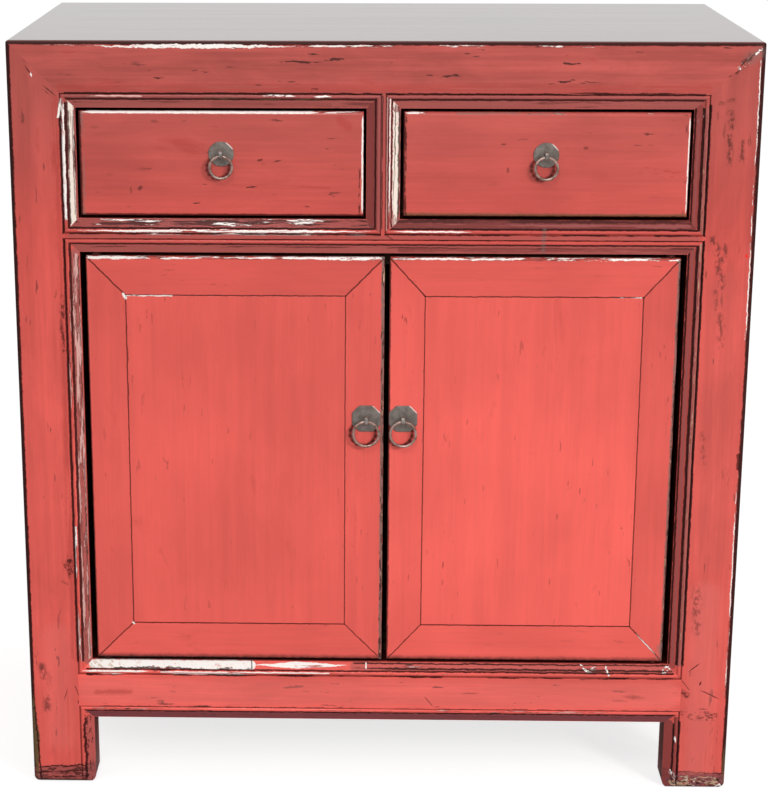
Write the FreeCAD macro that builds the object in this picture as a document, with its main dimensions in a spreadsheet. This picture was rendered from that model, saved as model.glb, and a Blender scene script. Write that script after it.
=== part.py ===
import FreeCAD, Part

import os
import re

import Sketcher

# A kang cabinet: a low lacquered case with two drawers over two framed doors.
# Millimetres. The floor is z = 0, the front faces -Y, and the origin lies under the
# middle of the whole, ring pulls included.

# Driving sizes. The sheet below holds them, and every piece is bound to the sheet.
SIZES = {
    # The case
    "case_width": 840,
    "case_depth": 440,
    "case_height": 900,
    "foot_height": 85,
    "frame_face": 75,
    "frame_depth": 45,
    "edge_radius": 4,
    "foot_radius": 8,
    "drawer_opening": 125.5,
    "middle_rail_face": 39,
    "divider_face": 38,
    # The moulding that runs round every opening: a sloped band, then a bead between two grooves
    "band_width": 10,
    "band_drop": 6,
    "groove_gap": 1,
    "groove_depth": 2.2,
    "bead_width": 5,
    # Joints of the case
    "shoulder_depth": 14,
    "tenon_thickness": 13,
    "tenon_length": 28,
    "tenon_shoulder": 10,
    "panel_groove": 8,
    "panel_float": 0.5,
    # Boards that the frame holds
    "side_panel_thickness": 12,
    "side_panel_recess": 4,
    "back_panel_thickness": 10,
    "back_panel_recess": 12,
    "top_panel_thickness": 14,
    "top_batten_width": 40,
    "top_batten_thickness": 18,
    "floor_thickness": 14,
    "floor_lip": 10,
    # Drawers
    "front_recess": 3,
    "drawer_side_gap": 3.2,
    "drawer_end_gap": 3.5,
    "drawer_front_thickness": 20,
    "drawer_board": 11,
    "drawer_box_inset": 6,
    "drawer_box_drop": 12,
    "drawer_housing": 9,
    "drawer_rear_gap": 20,
    "drawer_floor_thickness": 7,
    "drawer_floor_lift": 8,
    "drawer_floor_housing": 5,
    "runner_width": 36,
    "runner_thickness": 32,
    "guide_height": 12,
    "running_gap": 0.3,
    "guide_gap": 0.6,
    # Doors
    "door_thickness": 22,
    "door_side_gap": 7,
    "door_end_gap": 4.5,
    "door_meeting_gap": 5.8,
    "meeting_shift": 5.6,
    "left_stile_face": 44.5,
    "right_stile_face": 40.5,
    "door_rail_face": 45,
    "door_edge_radius": 2.5,
    "door_tenon_thickness": 7,
    "door_tenon_shoulder": 9,
    "door_panel_thickness": 12,
    "door_panel_tongue": 6,
    "panel_joint": 0.35,
    "door_batten_width": 42,
    "pivot_diameter": 12,
    "pivot_length": 14,
    "pivot_gap": 0.3,
    "door_stop_width": 16,
    "door_stop_height": 12,
    "door_stop_gap": 1,
    # Pulls: a plate, a split pin with an eye, and a ring that hangs in the eye
    "door_plate_width": 33,
    "door_plate_height": 31.5,
    "door_plate_round": 5,
    "drawer_plate_width": 28.7,
    "drawer_plate_height": 28,
    "drawer_plate_round": 12,
    "plate_corner": 8.5,
    "plate_thickness": 1.3,
    "plate_bevel": 0.6,
    "ring_wire": 3.3,
    "door_ring_diameter": 32.8,
    "drawer_ring_diameter": 28.2,
    "eye_gap": 0.5,
    "eye_wall": 1.05,
    "eye_width": 4,
    "eye_standoff": 7.5,
    "eye_rise": 3,
    "pin_thickness": 3,
    "pin_leg_length": 11,
    "pin_leg_thickness": 1.2,
    "door_pull_rise": 53.75,
    "left_pull_inset": 20.1,
    "right_pull_inset": 16.9,
    "drawer_pull_rise": 10,
    # Overrun of cuts beyond the wood
    "overrun": 2,
}

# Places worked out from the sizes.
PLACES = {
    "left": "-case_width / 2",
    "right": "case_width / 2",
    "front": "-(case_depth - pull_projection) / 2",
    "back": "front + case_depth",
    "opening_left": "left + frame_face",
    "opening_right": "right - frame_face",
    "frame_back": "front + frame_depth",
    "rear_frame": "back - frame_depth",
    "drawers_top": "case_height - frame_face",
    "drawers_bottom": "drawers_top - drawer_opening",
    "doors_top": "drawers_bottom - middle_rail_face",
    "doors_bottom": "foot_height + frame_face",
    "moulding_width": "band_width + 2 * groove_gap + bead_width",
    "bead_radius": "bead_width / 2",
    "bead_setback": "band_width + groove_gap + bead_radius",
    "tenon_front": "front + shoulder_depth + tenon_shoulder / 2",
    "tenon_back": "tenon_front + tenon_thickness",
    "rear_tenon_front": "back - shoulder_depth - tenon_thickness",
    "rear_tenon_back": "back - shoulder_depth",
    "side_tenon_outer": "left + side_panel_recess + tenon_shoulder",
    "side_tenon_inner": "side_tenon_outer + tenon_thickness",
    "side_panel_outer": "left + side_panel_recess",
    "side_panel_inner": "side_panel_outer + side_panel_thickness",
    "side_opening_top": "case_height - frame_depth",
    "back_panel_rear": "back - back_panel_recess",
    "back_panel_front": "back_panel_rear - back_panel_thickness",
    "floor_top": "doors_bottom - floor_lip",
    "floor_base": "floor_top - floor_thickness",
    "top_panel_base": "case_height - top_panel_thickness",
    "panel_reach": "panel_groove - panel_float",
    "recessed_front": "front + front_recess",
    "door_back": "recessed_front + door_thickness",
    "door_top": "doors_top - door_end_gap",
    "door_base": "doors_bottom + door_end_gap",
    "pivot_setback": "door_thickness / 2",
    "pivot_depth": "recessed_front + pivot_setback",
    "door_panel_back": "recessed_front + door_panel_thickness",
    "door_tongue_front": "door_panel_back - door_panel_tongue",
    "door_middle": "(door_top + door_base) / 2",
    "door_eye": "door_middle + door_pull_rise",
    "door_pin": "door_eye + eye_rise / 2",
    "meeting_left": "meeting_shift - door_meeting_gap / 2",
    "meeting_right": "meeting_shift + door_meeting_gap / 2",
    "drawer_top": "drawers_top - drawer_end_gap",
    "drawer_base": "drawers_bottom + drawer_end_gap",
    "drawer_eye": "(drawer_top + drawer_base) / 2 + drawer_pull_rise",
    "drawer_pin": "drawer_eye + eye_rise / 2",
    "drawer_front_back": "recessed_front + drawer_front_thickness",
    "drawer_rear": "rear_frame - drawer_rear_gap",
    "drawer_side_top": "drawer_top - drawer_box_drop",
    "drawer_floor_base": "drawer_base + drawer_floor_lift",
    "drawer_floor_top": "drawer_floor_base + drawer_floor_thickness",
    "runner_top": "drawer_base - running_gap",
    "runner_base": "runner_top - runner_thickness",
    "eye_bore": "ring_wire / 2 + eye_gap",
    "eye_radius": "eye_bore + eye_wall",
    "plate_front": "recessed_front - plate_thickness",
    "eye_depth": "plate_front - eye_standoff",
    "pull_projection": "eye_standoff + eye_radius + plate_thickness - front_recess",
}

# How near counts as the same place when edges are looked up.
NEAR = SIZES["overrun"] / 1000

PLANES = {"xy": "XY_Plane", "xz": "XZ_Plane", "yz": "YZ_Plane"}

doc = FreeCAD.newDocument("KangCabinet")
sheet = doc.addObject("Spreadsheet::Sheet", "Sizes")
for row, (name, size) in enumerate(SIZES.items(), start=1):
    sheet.set(f"A{row}", name)
    sheet.set(f"B{row}", str(size))
    sheet.setAlias(f"B{row}", name)
doc.recompute()


def formula(text):
    """Write sizes and places out as an expression on the sheet."""

    def spell(match):
        word = match.group(0)
        if word in PLACES:
            return "(" + formula(PLACES[word]) + ")"
        if word in SIZES:
            return "Sizes." + word
        return word

    return re.sub(r"[a-z_]+", spell, text)


def value(text):
    """The number that a formula comes to."""
    return float(sheet.evalExpression(formula(text)))


def bind(thing, prop, text):
    """Tie a property to the sheet."""
    thing.setExpression(prop, formula(text))


def new_body(label):
    body = doc.addObject("PartDesign::Body", label)
    body.Label = label
    return body


def block(body, name, x, y, z, cut=False):
    """A box between two places on each axis, added to the body or cut from it."""
    kind = "Subtractive" if cut else "Additive"
    box = body.newObject(f"PartDesign::{kind}Box", name)
    for axis, side, (start, end) in zip("xyz", ("Length", "Width", "Height"), (x, y, z)):
        bind(box, side, f"abs(({end}) - ({start}))")
        bind(box, f"Placement.Base.{axis}", f"min({start}; {end})")
    return box


def rod(body, name, along, centre, radius, length, cut=False):
    """A cylinder that starts at its centre point and runs along x or z."""
    kind = "Subtractive" if cut else "Additive"
    cylinder = body.newObject(f"PartDesign::{kind}Cylinder", name)
    if along == "x":
        turn = FreeCAD.Rotation(FreeCAD.Vector(0, 1, 0), 90)
        cylinder.Placement = FreeCAD.Placement(FreeCAD.Vector(), turn)
    for axis, place in zip("xyz", centre):
        bind(cylinder, f"Placement.Base.{axis}", place)
    bind(cylinder, "Radius", radius)
    bind(cylinder, "Height", length)
    return cylinder


def outline(body, name, plane, points, level=None):
    """A closed polygon on one of the body's origin planes, every corner bound to the sheet."""
    sketch = body.newObject("Sketcher::SketchObject", name)
    role = PLANES[plane]
    support = [item for item in body.Origin.OriginFeatures if item.Role == role][0]
    sketch.AttachmentSupport = (support, [""])
    sketch.MapMode = "FlatFace"
    if level is not None:
        # The xz plane looks along -Y, so its offset counts the other way.
        sign = "-1 * " if plane == "xz" else ""
        bind(sketch, "AttachmentOffset.Base.z", f"{sign}({level})")
    corners = [FreeCAD.Vector(value(across), value(up), 0) for across, up in points]
    count = len(corners)
    for index, corner in enumerate(corners):
        sketch.addGeometry(Part.LineSegment(corner, corners[(index + 1) % count]))
    for index, (across, up) in enumerate(points):
        follower = (index + 1) % count
        sketch.addConstraint(Sketcher.Constraint("Coincident", index, 2, follower, 1))
        corner = corners[index]
        for kind, place, number in (("DistanceX", across, corner.x), ("DistanceY", up, corner.y)):
            bound = sketch.addConstraint(Sketcher.Constraint(kind, -1, 1, index, 1, number))
            bind(sketch, f"Constraints[{bound}]", place)
    return sketch


def pocket(body, name, plane, points, level=None, depth=None):
    """Cut an outline out of the body: right through, or to a depth behind a level."""
    sketch = outline(body, name + "Outline", plane, points, level)
    cut = body.newObject("PartDesign::Pocket", name)
    cut.Profile = sketch
    if depth is None:
        cut.Type = "ThroughAll"
        cut.Midplane = True
    else:
        cut.Type = "Length"
        bind(cut, "Length", depth)
    return cut


def pad(body, name, plane, points, level, depth):
    """Raise an outline on the xz plane from a level towards the back."""
    sketch = outline(body, name + "Outline", plane, points, level)
    raised = body.newObject("PartDesign::Pad", name)
    raised.Profile = sketch
    raised.Reversed = True
    bind(raised, "Length", depth)
    return raised


def edges_at(feature, places):
    """Names of the edges whose ends keep the given places, such as one level, or a line along an axis."""
    target = {axis: value(place) for axis, place in places.items()}
    names = []
    for number, edge in enumerate(feature.Shape.Edges, start=1):
        ends = [vertex.Point for vertex in edge.Vertexes]
        gaps = [abs(getattr(end, axis) - target[axis]) for end in ends for axis in target]
        if max(gaps) < NEAR:
            names.append(f"Edge{number}")
    return names


def soften(body, name, feature, edges, radius):
    """Round a feature's edges, each set given by the places that they keep."""
    doc.recompute()
    fillet = body.newObject("PartDesign::Fillet", name)
    fillet.Base = (feature, [found for places in edges for found in edges_at(feature, places)])
    bind(fillet, "Radius", radius)
    return fillet


def mirrored(label, source, normal):
    """The same piece for the other side of the case."""
    copy = doc.addObject("Part::Mirroring", label)
    copy.Label = label
    copy.Source = source
    copy.Normal = normal
    return copy


def upright_moulding(body, name, edge, inward):
    """Band, grooves and bead along an upright edge. inward points from the edge into the wood."""
    wide = f"({edge}) {inward} moulding_width"
    band = f"({edge}) {inward} band_width"
    pocket(body, name + "Hollow", "xy", [
        (wide, "front - overrun"),
        (wide, "front + groove_depth"),
        (band, "front + groove_depth"),
        (edge, "front + band_drop"),
        (edge, "front - overrun"),
    ])


def upright_bead(body, name, edge, inward, base, length):
    centre = (f"({edge}) {inward} bead_setback", "front + bead_radius", base)
    rod(body, name + "Bead", "z", centre, "bead_radius", length)


def level_moulding(body, name, edge, inward):
    """Band, grooves and bead along a level edge."""
    wide = f"({edge}) {inward} moulding_width"
    band = f"({edge}) {inward} band_width"
    pocket(body, name + "Hollow", "yz", [
        ("front - overrun", wide),
        ("front + groove_depth", wide),
        ("front + groove_depth", band),
        ("front + band_drop", edge),
        ("front - overrun", edge),
    ])


def level_bead(body, name, edge, inward, start, length):
    centre = (start, "front + bead_radius", f"({edge}) {inward} bead_setback")
    rod(body, name + "Bead", "x", centre, "bead_radius", length)


# The hidden joints. Each is a box that one piece gains and its neighbour loses.

# A post's two tenons rise into the mitred top rails.
POST_TENON_FRONT = dict(
    x=("left + frame_depth + panel_groove / 2", "opening_left - panel_groove"),
    y=("tenon_front", "tenon_back"),
    z=("drawers_top - tenon_length", "case_height - tenon_shoulder"),
)
POST_TENON_REAR = dict(
    x=("left + frame_depth + panel_groove / 2", "opening_left - panel_groove"),
    y=("rear_tenon_front", "rear_tenon_back"),
    z=("drawers_top - tenon_length", "case_height - tenon_shoulder"),
)
POST_TENON_SIDE_FRONT = dict(
    x=("left + tenon_shoulder", "left + frame_depth / 2"),
    y=("front + frame_depth / 2 + panel_float", "frame_back - panel_groove"),
    z=("drawers_top", "case_height - tenon_shoulder"),
)
POST_TENON_SIDE_REAR = dict(
    x=("left + tenon_shoulder", "left + frame_depth / 2"),
    y=("rear_frame + panel_groove", "back - frame_depth / 2 - panel_float"),
    z=("drawers_top", "case_height - tenon_shoulder"),
)
# Level rails are tenoned into the posts.
MIDDLE_TENON = dict(
    x=("opening_left", "opening_left - tenon_length"),
    y=("tenon_front", "tenon_back"),
    z=("doors_top + tenon_shoulder", "drawers_bottom - tenon_shoulder"),
)
BOTTOM_TENON = dict(
    x=("opening_left", "opening_left - tenon_length"),
    y=("tenon_front", "tenon_back"),
    z=("foot_height + tenon_shoulder", "floor_base - tenon_shoulder"),
)
REAR_MIDDLE_TENON = dict(MIDDLE_TENON, y=("rear_tenon_front", "rear_tenon_back"))
REAR_BOTTOM_TENON = dict(BOTTOM_TENON, y=("rear_tenon_front", "rear_tenon_back"))
SIDE_BOTTOM_TENON_FRONT = dict(
    x=("side_tenon_outer", "side_tenon_inner"),
    y=("frame_back", "frame_back - tenon_length"),
    z=("foot_height + tenon_shoulder", "floor_base - tenon_shoulder"),
)
SIDE_BOTTOM_TENON_REAR = dict(SIDE_BOTTOM_TENON_FRONT, y=("rear_frame", "rear_frame + tenon_length"))
# The divider is tenoned into the top rail and the middle rail.
DIVIDER_TENON_TOP = dict(
    x=("-tenon_thickness / 2", "tenon_thickness / 2"),
    y=("tenon_front", "tenon_back"),
    z=("drawers_top", "drawers_top + tenon_length"),
)
DIVIDER_TENON_BASE = dict(DIVIDER_TENON_TOP, z=("drawers_bottom", "drawers_bottom - tenon_length / 2"))


def across(joint):
    """The same joint on the right-hand side."""
    start, end = joint["x"]
    return dict(joint, x=(f"-({start})", f"-({end})"))


# Grooves that hold the boards, on the left and at the back of the case.
SIDE_GROOVE = ("side_panel_outer", "side_panel_inner")
BACK_GROOVE = ("back_panel_front", "back_panel_rear")
# The top panel's tongue sits in the lower part of its edge, and three battens cross below it.
TOP_TONGUE = ("top_panel_base", "top_panel_base + top_panel_thickness / 2")
TOP_BATTEN = ("top_panel_base - top_batten_thickness", "top_panel_base")
TOP_BATTEN_SHARES = (-0.25, 0, 0.25)
# The door pivots stand half a door's thickness in from the door's outer edge.
PIVOT_LEFT = "opening_left + door_side_gap + pivot_setback"
PIVOT_RIGHT = "opening_right - door_side_gap - pivot_setback"
PIVOT_SOCKET = "pivot_length - door_end_gap + pivot_gap"


def batten_span(share):
    """Where a batten lies along the case, as a share of the case's width."""
    middle = f"({share} * case_width)"
    return (f"{middle} - top_batten_width / 2", f"{middle} + top_batten_width / 2")


def post(label, at_front):
    """A left-hand corner post, with its foot, mitred at the top to meet two rails."""
    body = new_body(label)
    near = "front" if at_front else "rear_frame"
    far = "frame_back" if at_front else "back"
    outer = "front" if at_front else "back"
    inner = "frame_back" if at_front else "rear_frame"
    away = "+" if at_front else "-"
    stock = block(body, "Stock", ("left", "opening_left"), (near, far), ("0", "case_height"))
    arris = soften(body, "Arris", stock, [dict(x="left", y=outer)], "edge_radius")
    soften(body, "Foot", arris, [dict(z="0")], "foot_radius")
    if at_front:
        upright_moulding(body, "Moulding", "opening_left", "-")
        upright_bead(body, "Moulding", "opening_left", "-", "foot_radius", "case_height - foot_radius")
    # Mitres with the level rails: the post keeps what lies nearer its own axis.
    pocket(body, "MitreFace", "xz", [
        ("left", "case_height"),
        ("opening_left", "drawers_top"),
        ("opening_left + overrun", "drawers_top"),
        ("opening_left + overrun", "case_height + overrun"),
        ("left", "case_height + overrun"),
    ])
    pocket(body, "MitreSide", "yz", [
        (outer, "case_height"),
        (inner, "side_opening_top"),
        (f"{inner} {away} overrun", "side_opening_top"),
        (f"{inner} {away} overrun", "case_height + overrun"),
        (outer, "case_height + overrun"),
    ])
    # The side panel's groove, then the back panel's.
    sunk = f"{inner} - panel_groove" if at_front else f"{inner} + panel_groove"
    block(body, "SideGroove", SIDE_GROOVE, (inner, sunk),
          ("doors_bottom - panel_groove", "side_opening_top + panel_groove"), cut=True)
    if not at_front:
        block(body, "BackGroove", ("opening_left", "opening_left - panel_groove"), BACK_GROOVE,
              ("doors_bottom - panel_groove", "drawers_top + panel_groove"), cut=True)
    if at_front:
        pocket(body, "MiddleNotch", "xz", [
            ("opening_left + overrun", "drawers_bottom + overrun"),
            ("opening_left - middle_rail_face / 2", "drawers_bottom - middle_rail_face / 2"),
            ("opening_left + overrun", "doors_top - overrun"),
        ], "front", "shoulder_depth")
        pocket(body, "BottomNotch", "xz", [
            ("opening_left", "doors_bottom"),
            ("opening_left - moulding_width", "doors_bottom - moulding_width"),
            ("opening_left - moulding_width", "foot_height + moulding_width"),
            ("opening_left", "foot_height"),
        ], "front", "shoulder_depth")
        block(body, "MiddleMortise", **MIDDLE_TENON, cut=True)
        block(body, "BottomMortise", **BOTTOM_TENON, cut=True)
        block(body, "SideMortise", **SIDE_BOTTOM_TENON_FRONT, cut=True)
        block(body, "RailTenon", **POST_TENON_FRONT)
        block(body, "SideTenon", **POST_TENON_SIDE_FRONT)
    else:
        block(body, "MiddleMortise", **REAR_MIDDLE_TENON, cut=True)
        block(body, "BottomMortise", **REAR_BOTTOM_TENON, cut=True)
        block(body, "SideMortise", **SIDE_BOTTOM_TENON_REAR, cut=True)
        block(body, "RailTenon", **POST_TENON_REAR)
        block(body, "SideTenon", **POST_TENON_SIDE_REAR)
    return body


def top_rail_across(label, at_front):
    """The long top rail at the front or back, mitred at both ends."""
    body = new_body(label)
    near = "front" if at_front else "rear_frame"
    far = "frame_back" if at_front else "back"
    outer = "front" if at_front else "back"
    inner = "frame_back" if at_front else "rear_frame"
    away = "+" if at_front else "-"
    stock = block(body, "Stock", ("left", "right"), (near, far), ("drawers_top", "case_height"))
    soften(body, "Arris", stock, [dict(y=outer, z="case_height")], "edge_radius")
    if at_front:
        level_moulding(body, "Moulding", "drawers_top", "+")
        level_bead(body, "Moulding", "drawers_top", "+", "left", "case_width")
    for side, end, opening, out in (("Left", "left", "opening_left", "-"),
                                    ("Right", "right", "opening_right", "+")):
        pocket(body, f"MitreFace{side}", "xz", [
            (end, "case_height"),
            (opening, "drawers_top"),
            (opening, "drawers_top - overrun"),
            (f"{end} {out} overrun", "drawers_top - overrun"),
            (f"{end} {out} overrun", "case_height"),
        ])
        back_in = "-" if out == "+" else "+"
        pocket(body, f"MitreTop{side}", "xy", [
            (end, outer),
            (f"{end} {back_in} frame_depth", inner),
            (f"{end} {back_in} frame_depth", f"{inner} {away} overrun"),
            (f"{end} {out} overrun", f"{inner} {away} overrun"),
            (f"{end} {out} overrun", outer),
        ])
    tenon = POST_TENON_FRONT if at_front else POST_TENON_REAR
    block(body, "MortiseLeft", **tenon, cut=True)
    block(body, "MortiseRight", **across(tenon), cut=True)
    sunk = f"{inner} - panel_groove" if at_front else f"{inner} + panel_groove"
    block(body, "TopGroove", ("left + frame_depth - panel_groove", "right - frame_depth + panel_groove"),
          (inner, sunk), TOP_TONGUE, cut=True)
    if at_front:
        pocket(body, "DividerNotch", "xz", [
            ("-divider_face / 2 - overrun", "drawers_top - overrun"),
            ("0", "drawers_top + divider_face / 2"),
            ("divider_face / 2 + overrun", "drawers_top - overrun"),
        ], "front", "shoulder_depth")
        block(body, "DividerMortise", **DIVIDER_TENON_TOP, cut=True)
    else:
        block(body, "BackGroove", ("opening_left - panel_groove", "opening_right + panel_groove"),
              BACK_GROOVE, ("drawers_top", "drawers_top + panel_groove"), cut=True)
    for number, share in enumerate(TOP_BATTEN_SHARES, start=1):
        block(body, f"BattenMortise{number}", batten_span(share), (inner, sunk), TOP_BATTEN, cut=True)
    return body


def top_rail_side(label):
    """The short top rail at the left, mitred into the posts and the long rails."""
    body = new_body(label)
    stock = block(body, "Stock", ("left", "left + frame_depth"), ("front", "back"),
                  ("side_opening_top", "case_height"))
    soften(body, "Arris", stock, [dict(x="left", z="case_height")], "edge_radius")
    for side, outer, inner, out in (("Front", "front", "frame_back", "-"),
                                    ("Back", "back", "rear_frame", "+")):
        pocket(body, f"MitreSide{side}", "yz", [
            (outer, "case_height"),
            (inner, "side_opening_top"),
            (inner, "side_opening_top - overrun"),
            (f"{outer} {out} overrun", "side_opening_top - overrun"),
            (f"{outer} {out} overrun", "case_height"),
        ])
        pocket(body, f"MitreTop{side}", "xy", [
            ("left", outer),
            ("left + frame_depth", inner),
            ("left + frame_depth + overrun", inner),
            ("left + frame_depth + overrun", f"{outer} {out} overrun"),
            ("left", f"{outer} {out} overrun"),
        ])
    block(body, "MortiseFront", **POST_TENON_SIDE_FRONT, cut=True)
    block(body, "MortiseBack", **POST_TENON_SIDE_REAR, cut=True)
    block(body, "TopGroove", ("left + frame_depth", "left + frame_depth - panel_groove"),
          ("frame_back - panel_groove", "rear_frame + panel_groove"), TOP_TONGUE, cut=True)
    block(body, "SideGroove", SIDE_GROOVE, ("frame_back - panel_groove", "rear_frame + panel_groove"),
          ("side_opening_top", "side_opening_top + panel_groove"), cut=True)
    return body


def middle_rail_front(label):
    """The rail between the drawers and the doors, with pointed shoulders over the posts."""
    body = new_body(label)
    half = "middle_rail_face / 2"
    tip = "drawers_bottom - middle_rail_face / 2"
    block(body, "Stock", (f"opening_left - {half}", f"opening_right + {half}"), ("front", "frame_back"),
          ("doors_top", "drawers_bottom"))
    for name, edge, inward in (("Upper", "drawers_bottom", "-"), ("Lower", "doors_top", "+")):
        level_moulding(body, name, edge, inward)
        level_bead(body, name, edge, inward, f"opening_left - {half}",
                   f"opening_right - opening_left + 2 * {half}")
    for side, opening, out in (("Left", "opening_left", "-"), ("Right", "opening_right", "+")):
        for name, edge, past in (("Upper", "drawers_bottom", "+"), ("Lower", "doors_top", "-")):
            pocket(body, f"Point{name}{side}", "xz", [
                (opening, edge),
                (f"{opening} {out} {half}", tip),
                (f"{opening} {out} ({half} + overrun)", tip),
                (f"{opening} {out} ({half} + overrun)", f"{edge} {past} overrun"),
                (opening, f"{edge} {past} overrun"),
            ])
        block(body, f"Shoulder{side}", (opening, f"{opening} {out} ({half} + overrun)"),
              ("front + shoulder_depth", "frame_back"), ("doors_top", "drawers_bottom"), cut=True)
    block(body, "TenonLeft", **MIDDLE_TENON)
    block(body, "TenonRight", **across(MIDDLE_TENON))
    pocket(body, "DividerNotch", "xz", [
        ("-divider_face / 2 - overrun", "drawers_bottom + overrun"),
        ("0", "drawers_bottom - divider_face / 2"),
        ("divider_face / 2 + overrun", "drawers_bottom + overrun"),
    ], "front", "shoulder_depth")
    block(body, "DividerMortise", **DIVIDER_TENON_BASE, cut=True)
    for side, centre in (("Left", PIVOT_LEFT), ("Right", PIVOT_RIGHT)):
        rod(body, f"Socket{side}", "z", (centre, "pivot_depth", "doors_top"),
            "pivot_diameter / 2 + pivot_gap", PIVOT_SOCKET, cut=True)
    return body


def drawer_divider(label):
    """The short upright between the drawers, pointed at both ends."""
    body = new_body(label)
    half = "divider_face / 2"
    block(body, "Stock", (f"-{half}", half), ("front", "frame_back"),
          (f"drawers_bottom - {half}", f"drawers_top + {half}"))
    for name, edge, inward in (("Left", f"-{half}", "+"), ("Right", half, "-")):
        upright_moulding(body, name, edge, inward)
        upright_bead(body, name, edge, inward, f"drawers_bottom - {half}", f"drawer_opening + 2 * {half}")
    for end, edge, out in (("Top", "drawers_top", "+"), ("Base", "drawers_bottom", "-")):
        for side, flank, past in (("Left", f"-{half}", "-"), ("Right", half, "+")):
            pocket(body, f"Point{end}{side}", "xz", [
                (flank, edge),
                ("0", f"{edge} {out} {half}"),
                ("0", f"{edge} {out} ({half} + overrun)"),
                (f"{flank} {past} overrun", f"{edge} {out} ({half} + overrun)"),
                (f"{flank} {past} overrun", edge),
            ])
        block(body, f"Shoulder{end}", (f"-{half}", half), ("front + shoulder_depth", "frame_back"),
              (edge, f"{edge} {out} ({half} + overrun)"), cut=True)
    block(body, "TenonTop", **DIVIDER_TENON_TOP)
    block(body, "TenonBase", **DIVIDER_TENON_BASE)
    return body


def bottom_rail_front(label):
    """The deep rail under the doors, moulded on both edges, with a blunt tongue over each post."""
    body = new_body(label)
    block(body, "Stock", ("opening_left - moulding_width", "opening_right + moulding_width"),
          ("front", "frame_back"), ("foot_height", "doors_bottom"))
    for name, edge, inward in (("Upper", "doors_bottom", "-"), ("Lower", "foot_height", "+")):
        level_moulding(body, name, edge, inward)
        level_bead(body, name, edge, inward, "opening_left - moulding_width",
                   "opening_right - opening_left + 2 * moulding_width")
    for side, opening, out in (("Left", "opening_left", "-"), ("Right", "opening_right", "+")):
        for name, edge, inward, past in (("Upper", "doors_bottom", "-", "+"),
                                         ("Lower", "foot_height", "+", "-")):
            pocket(body, f"Tongue{name}{side}", "xz", [
                (opening, edge),
                (f"{opening} {out} moulding_width", f"{edge} {inward} moulding_width"),
                (f"{opening} {out} (moulding_width + overrun)", f"{edge} {inward} moulding_width"),
                (f"{opening} {out} (moulding_width + overrun)", f"{edge} {past} overrun"),
                (opening, f"{edge} {past} overrun"),
            ])
        block(body, f"Shoulder{side}", (opening, f"{opening} {out} (moulding_width + overrun)"),
              ("front + shoulder_depth", "frame_back"), ("foot_height", "doors_bottom"), cut=True)
    block(body, "TenonLeft", **BOTTOM_TENON)
    block(body, "TenonRight", **across(BOTTOM_TENON))
    for side, centre in (("Left", PIVOT_LEFT), ("Right", PIVOT_RIGHT)):
        rod(body, f"Socket{side}", "z", (centre, "pivot_depth", f"doors_bottom - ({PIVOT_SOCKET})"),
            "pivot_diameter / 2 + pivot_gap", f"{PIVOT_SOCKET} + overrun", cut=True)
    block(body, "FloorGroove", ("opening_left", "opening_right"), ("frame_back - panel_groove", "frame_back"),
          ("floor_base", "floor_top"), cut=True)
    return body


def rear_rail(label, base, top, tenon, seats_floor):
    """A plain level rail between the back posts."""
    body = new_body(label)
    block(body, "Stock", ("opening_left", "opening_right"), ("rear_frame", "back"), (base, top))
    block(body, "TenonLeft", **tenon)
    block(body, "TenonRight", **across(tenon))
    if seats_floor:
        block(body, "FloorGroove", ("opening_left", "opening_right"),
              ("rear_frame", "rear_frame + panel_groove"), ("floor_base", "floor_top"), cut=True)
    else:
        block(body, "LowerGroove", ("opening_left", "opening_right"), BACK_GROOVE,
              (base, f"{base} + panel_groove"), cut=True)
    block(body, "UpperGroove", ("opening_left", "opening_right"), BACK_GROOVE,
          (top, f"{top} - panel_groove"), cut=True)
    return body


def bottom_rail_side(label):
    """The left-hand bottom rail, set flush with the posts' outer faces."""
    body = new_body(label)
    block(body, "Stock", ("left", "left + frame_depth"), ("frame_back", "rear_frame"),
          ("foot_height", "doors_bottom"))
    block(body, "TenonFront", **SIDE_BOTTOM_TENON_FRONT)
    block(body, "TenonBack", **SIDE_BOTTOM_TENON_REAR)
    block(body, "SideGroove", SIDE_GROOVE, ("frame_back", "rear_frame"),
          ("doors_bottom", "doors_bottom - panel_groove"), cut=True)
    block(body, "FloorGroove", ("left + frame_depth", "left + frame_depth - panel_groove"),
          ("frame_back", "rear_frame"), ("floor_base", "floor_top"), cut=True)
    return body


def side_panel(label):
    """The board that closes the left side, floating in its grooves."""
    body = new_body(label)
    block(body, "Board", SIDE_GROOVE, ("frame_back - panel_reach", "rear_frame + panel_reach"),
          ("doors_bottom - panel_reach", "side_opening_top + panel_reach"))
    return body


def back_panel(label, base, top):
    body = new_body(label)
    block(body, "Board", ("opening_left - panel_reach", "opening_right + panel_reach"), BACK_GROOVE,
          (f"{base} - panel_reach", f"{top} + panel_reach"))
    return body


def top_panel(label):
    """The top board, flush with its frame, with a tongue all round."""
    body = new_body(label)
    block(body, "Field", ("left + frame_depth", "right - frame_depth"), ("frame_back", "rear_frame"),
          ("top_panel_base", "case_height"))
    block(body, "Tongue", ("left + frame_depth - panel_reach", "right - frame_depth + panel_reach"),
          ("frame_back - panel_reach", "rear_frame + panel_reach"), TOP_TONGUE)
    return body


def top_battens(label):
    """Three battens under the top board, tenoned into the long rails."""
    body = new_body(label)
    for number, share in enumerate(TOP_BATTEN_SHARES, start=1):
        block(body, f"Batten{number}", batten_span(share),
              ("frame_back - panel_reach", "rear_frame + panel_reach"), TOP_BATTEN)
    return body


def bottom_board(label):
    """The cupboard's floor, let into the four bottom rails and notched round the posts."""
    body = new_body(label)
    block(body, "Middle", ("opening_left", "opening_right"),
          ("frame_back - panel_reach", "rear_frame + panel_reach"), ("floor_base", "floor_top"))
    block(body, "Sides", ("left + frame_depth - panel_reach", "right - frame_depth + panel_reach"),
          ("frame_back", "rear_frame"), ("floor_base", "floor_top"))
    return body


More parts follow.
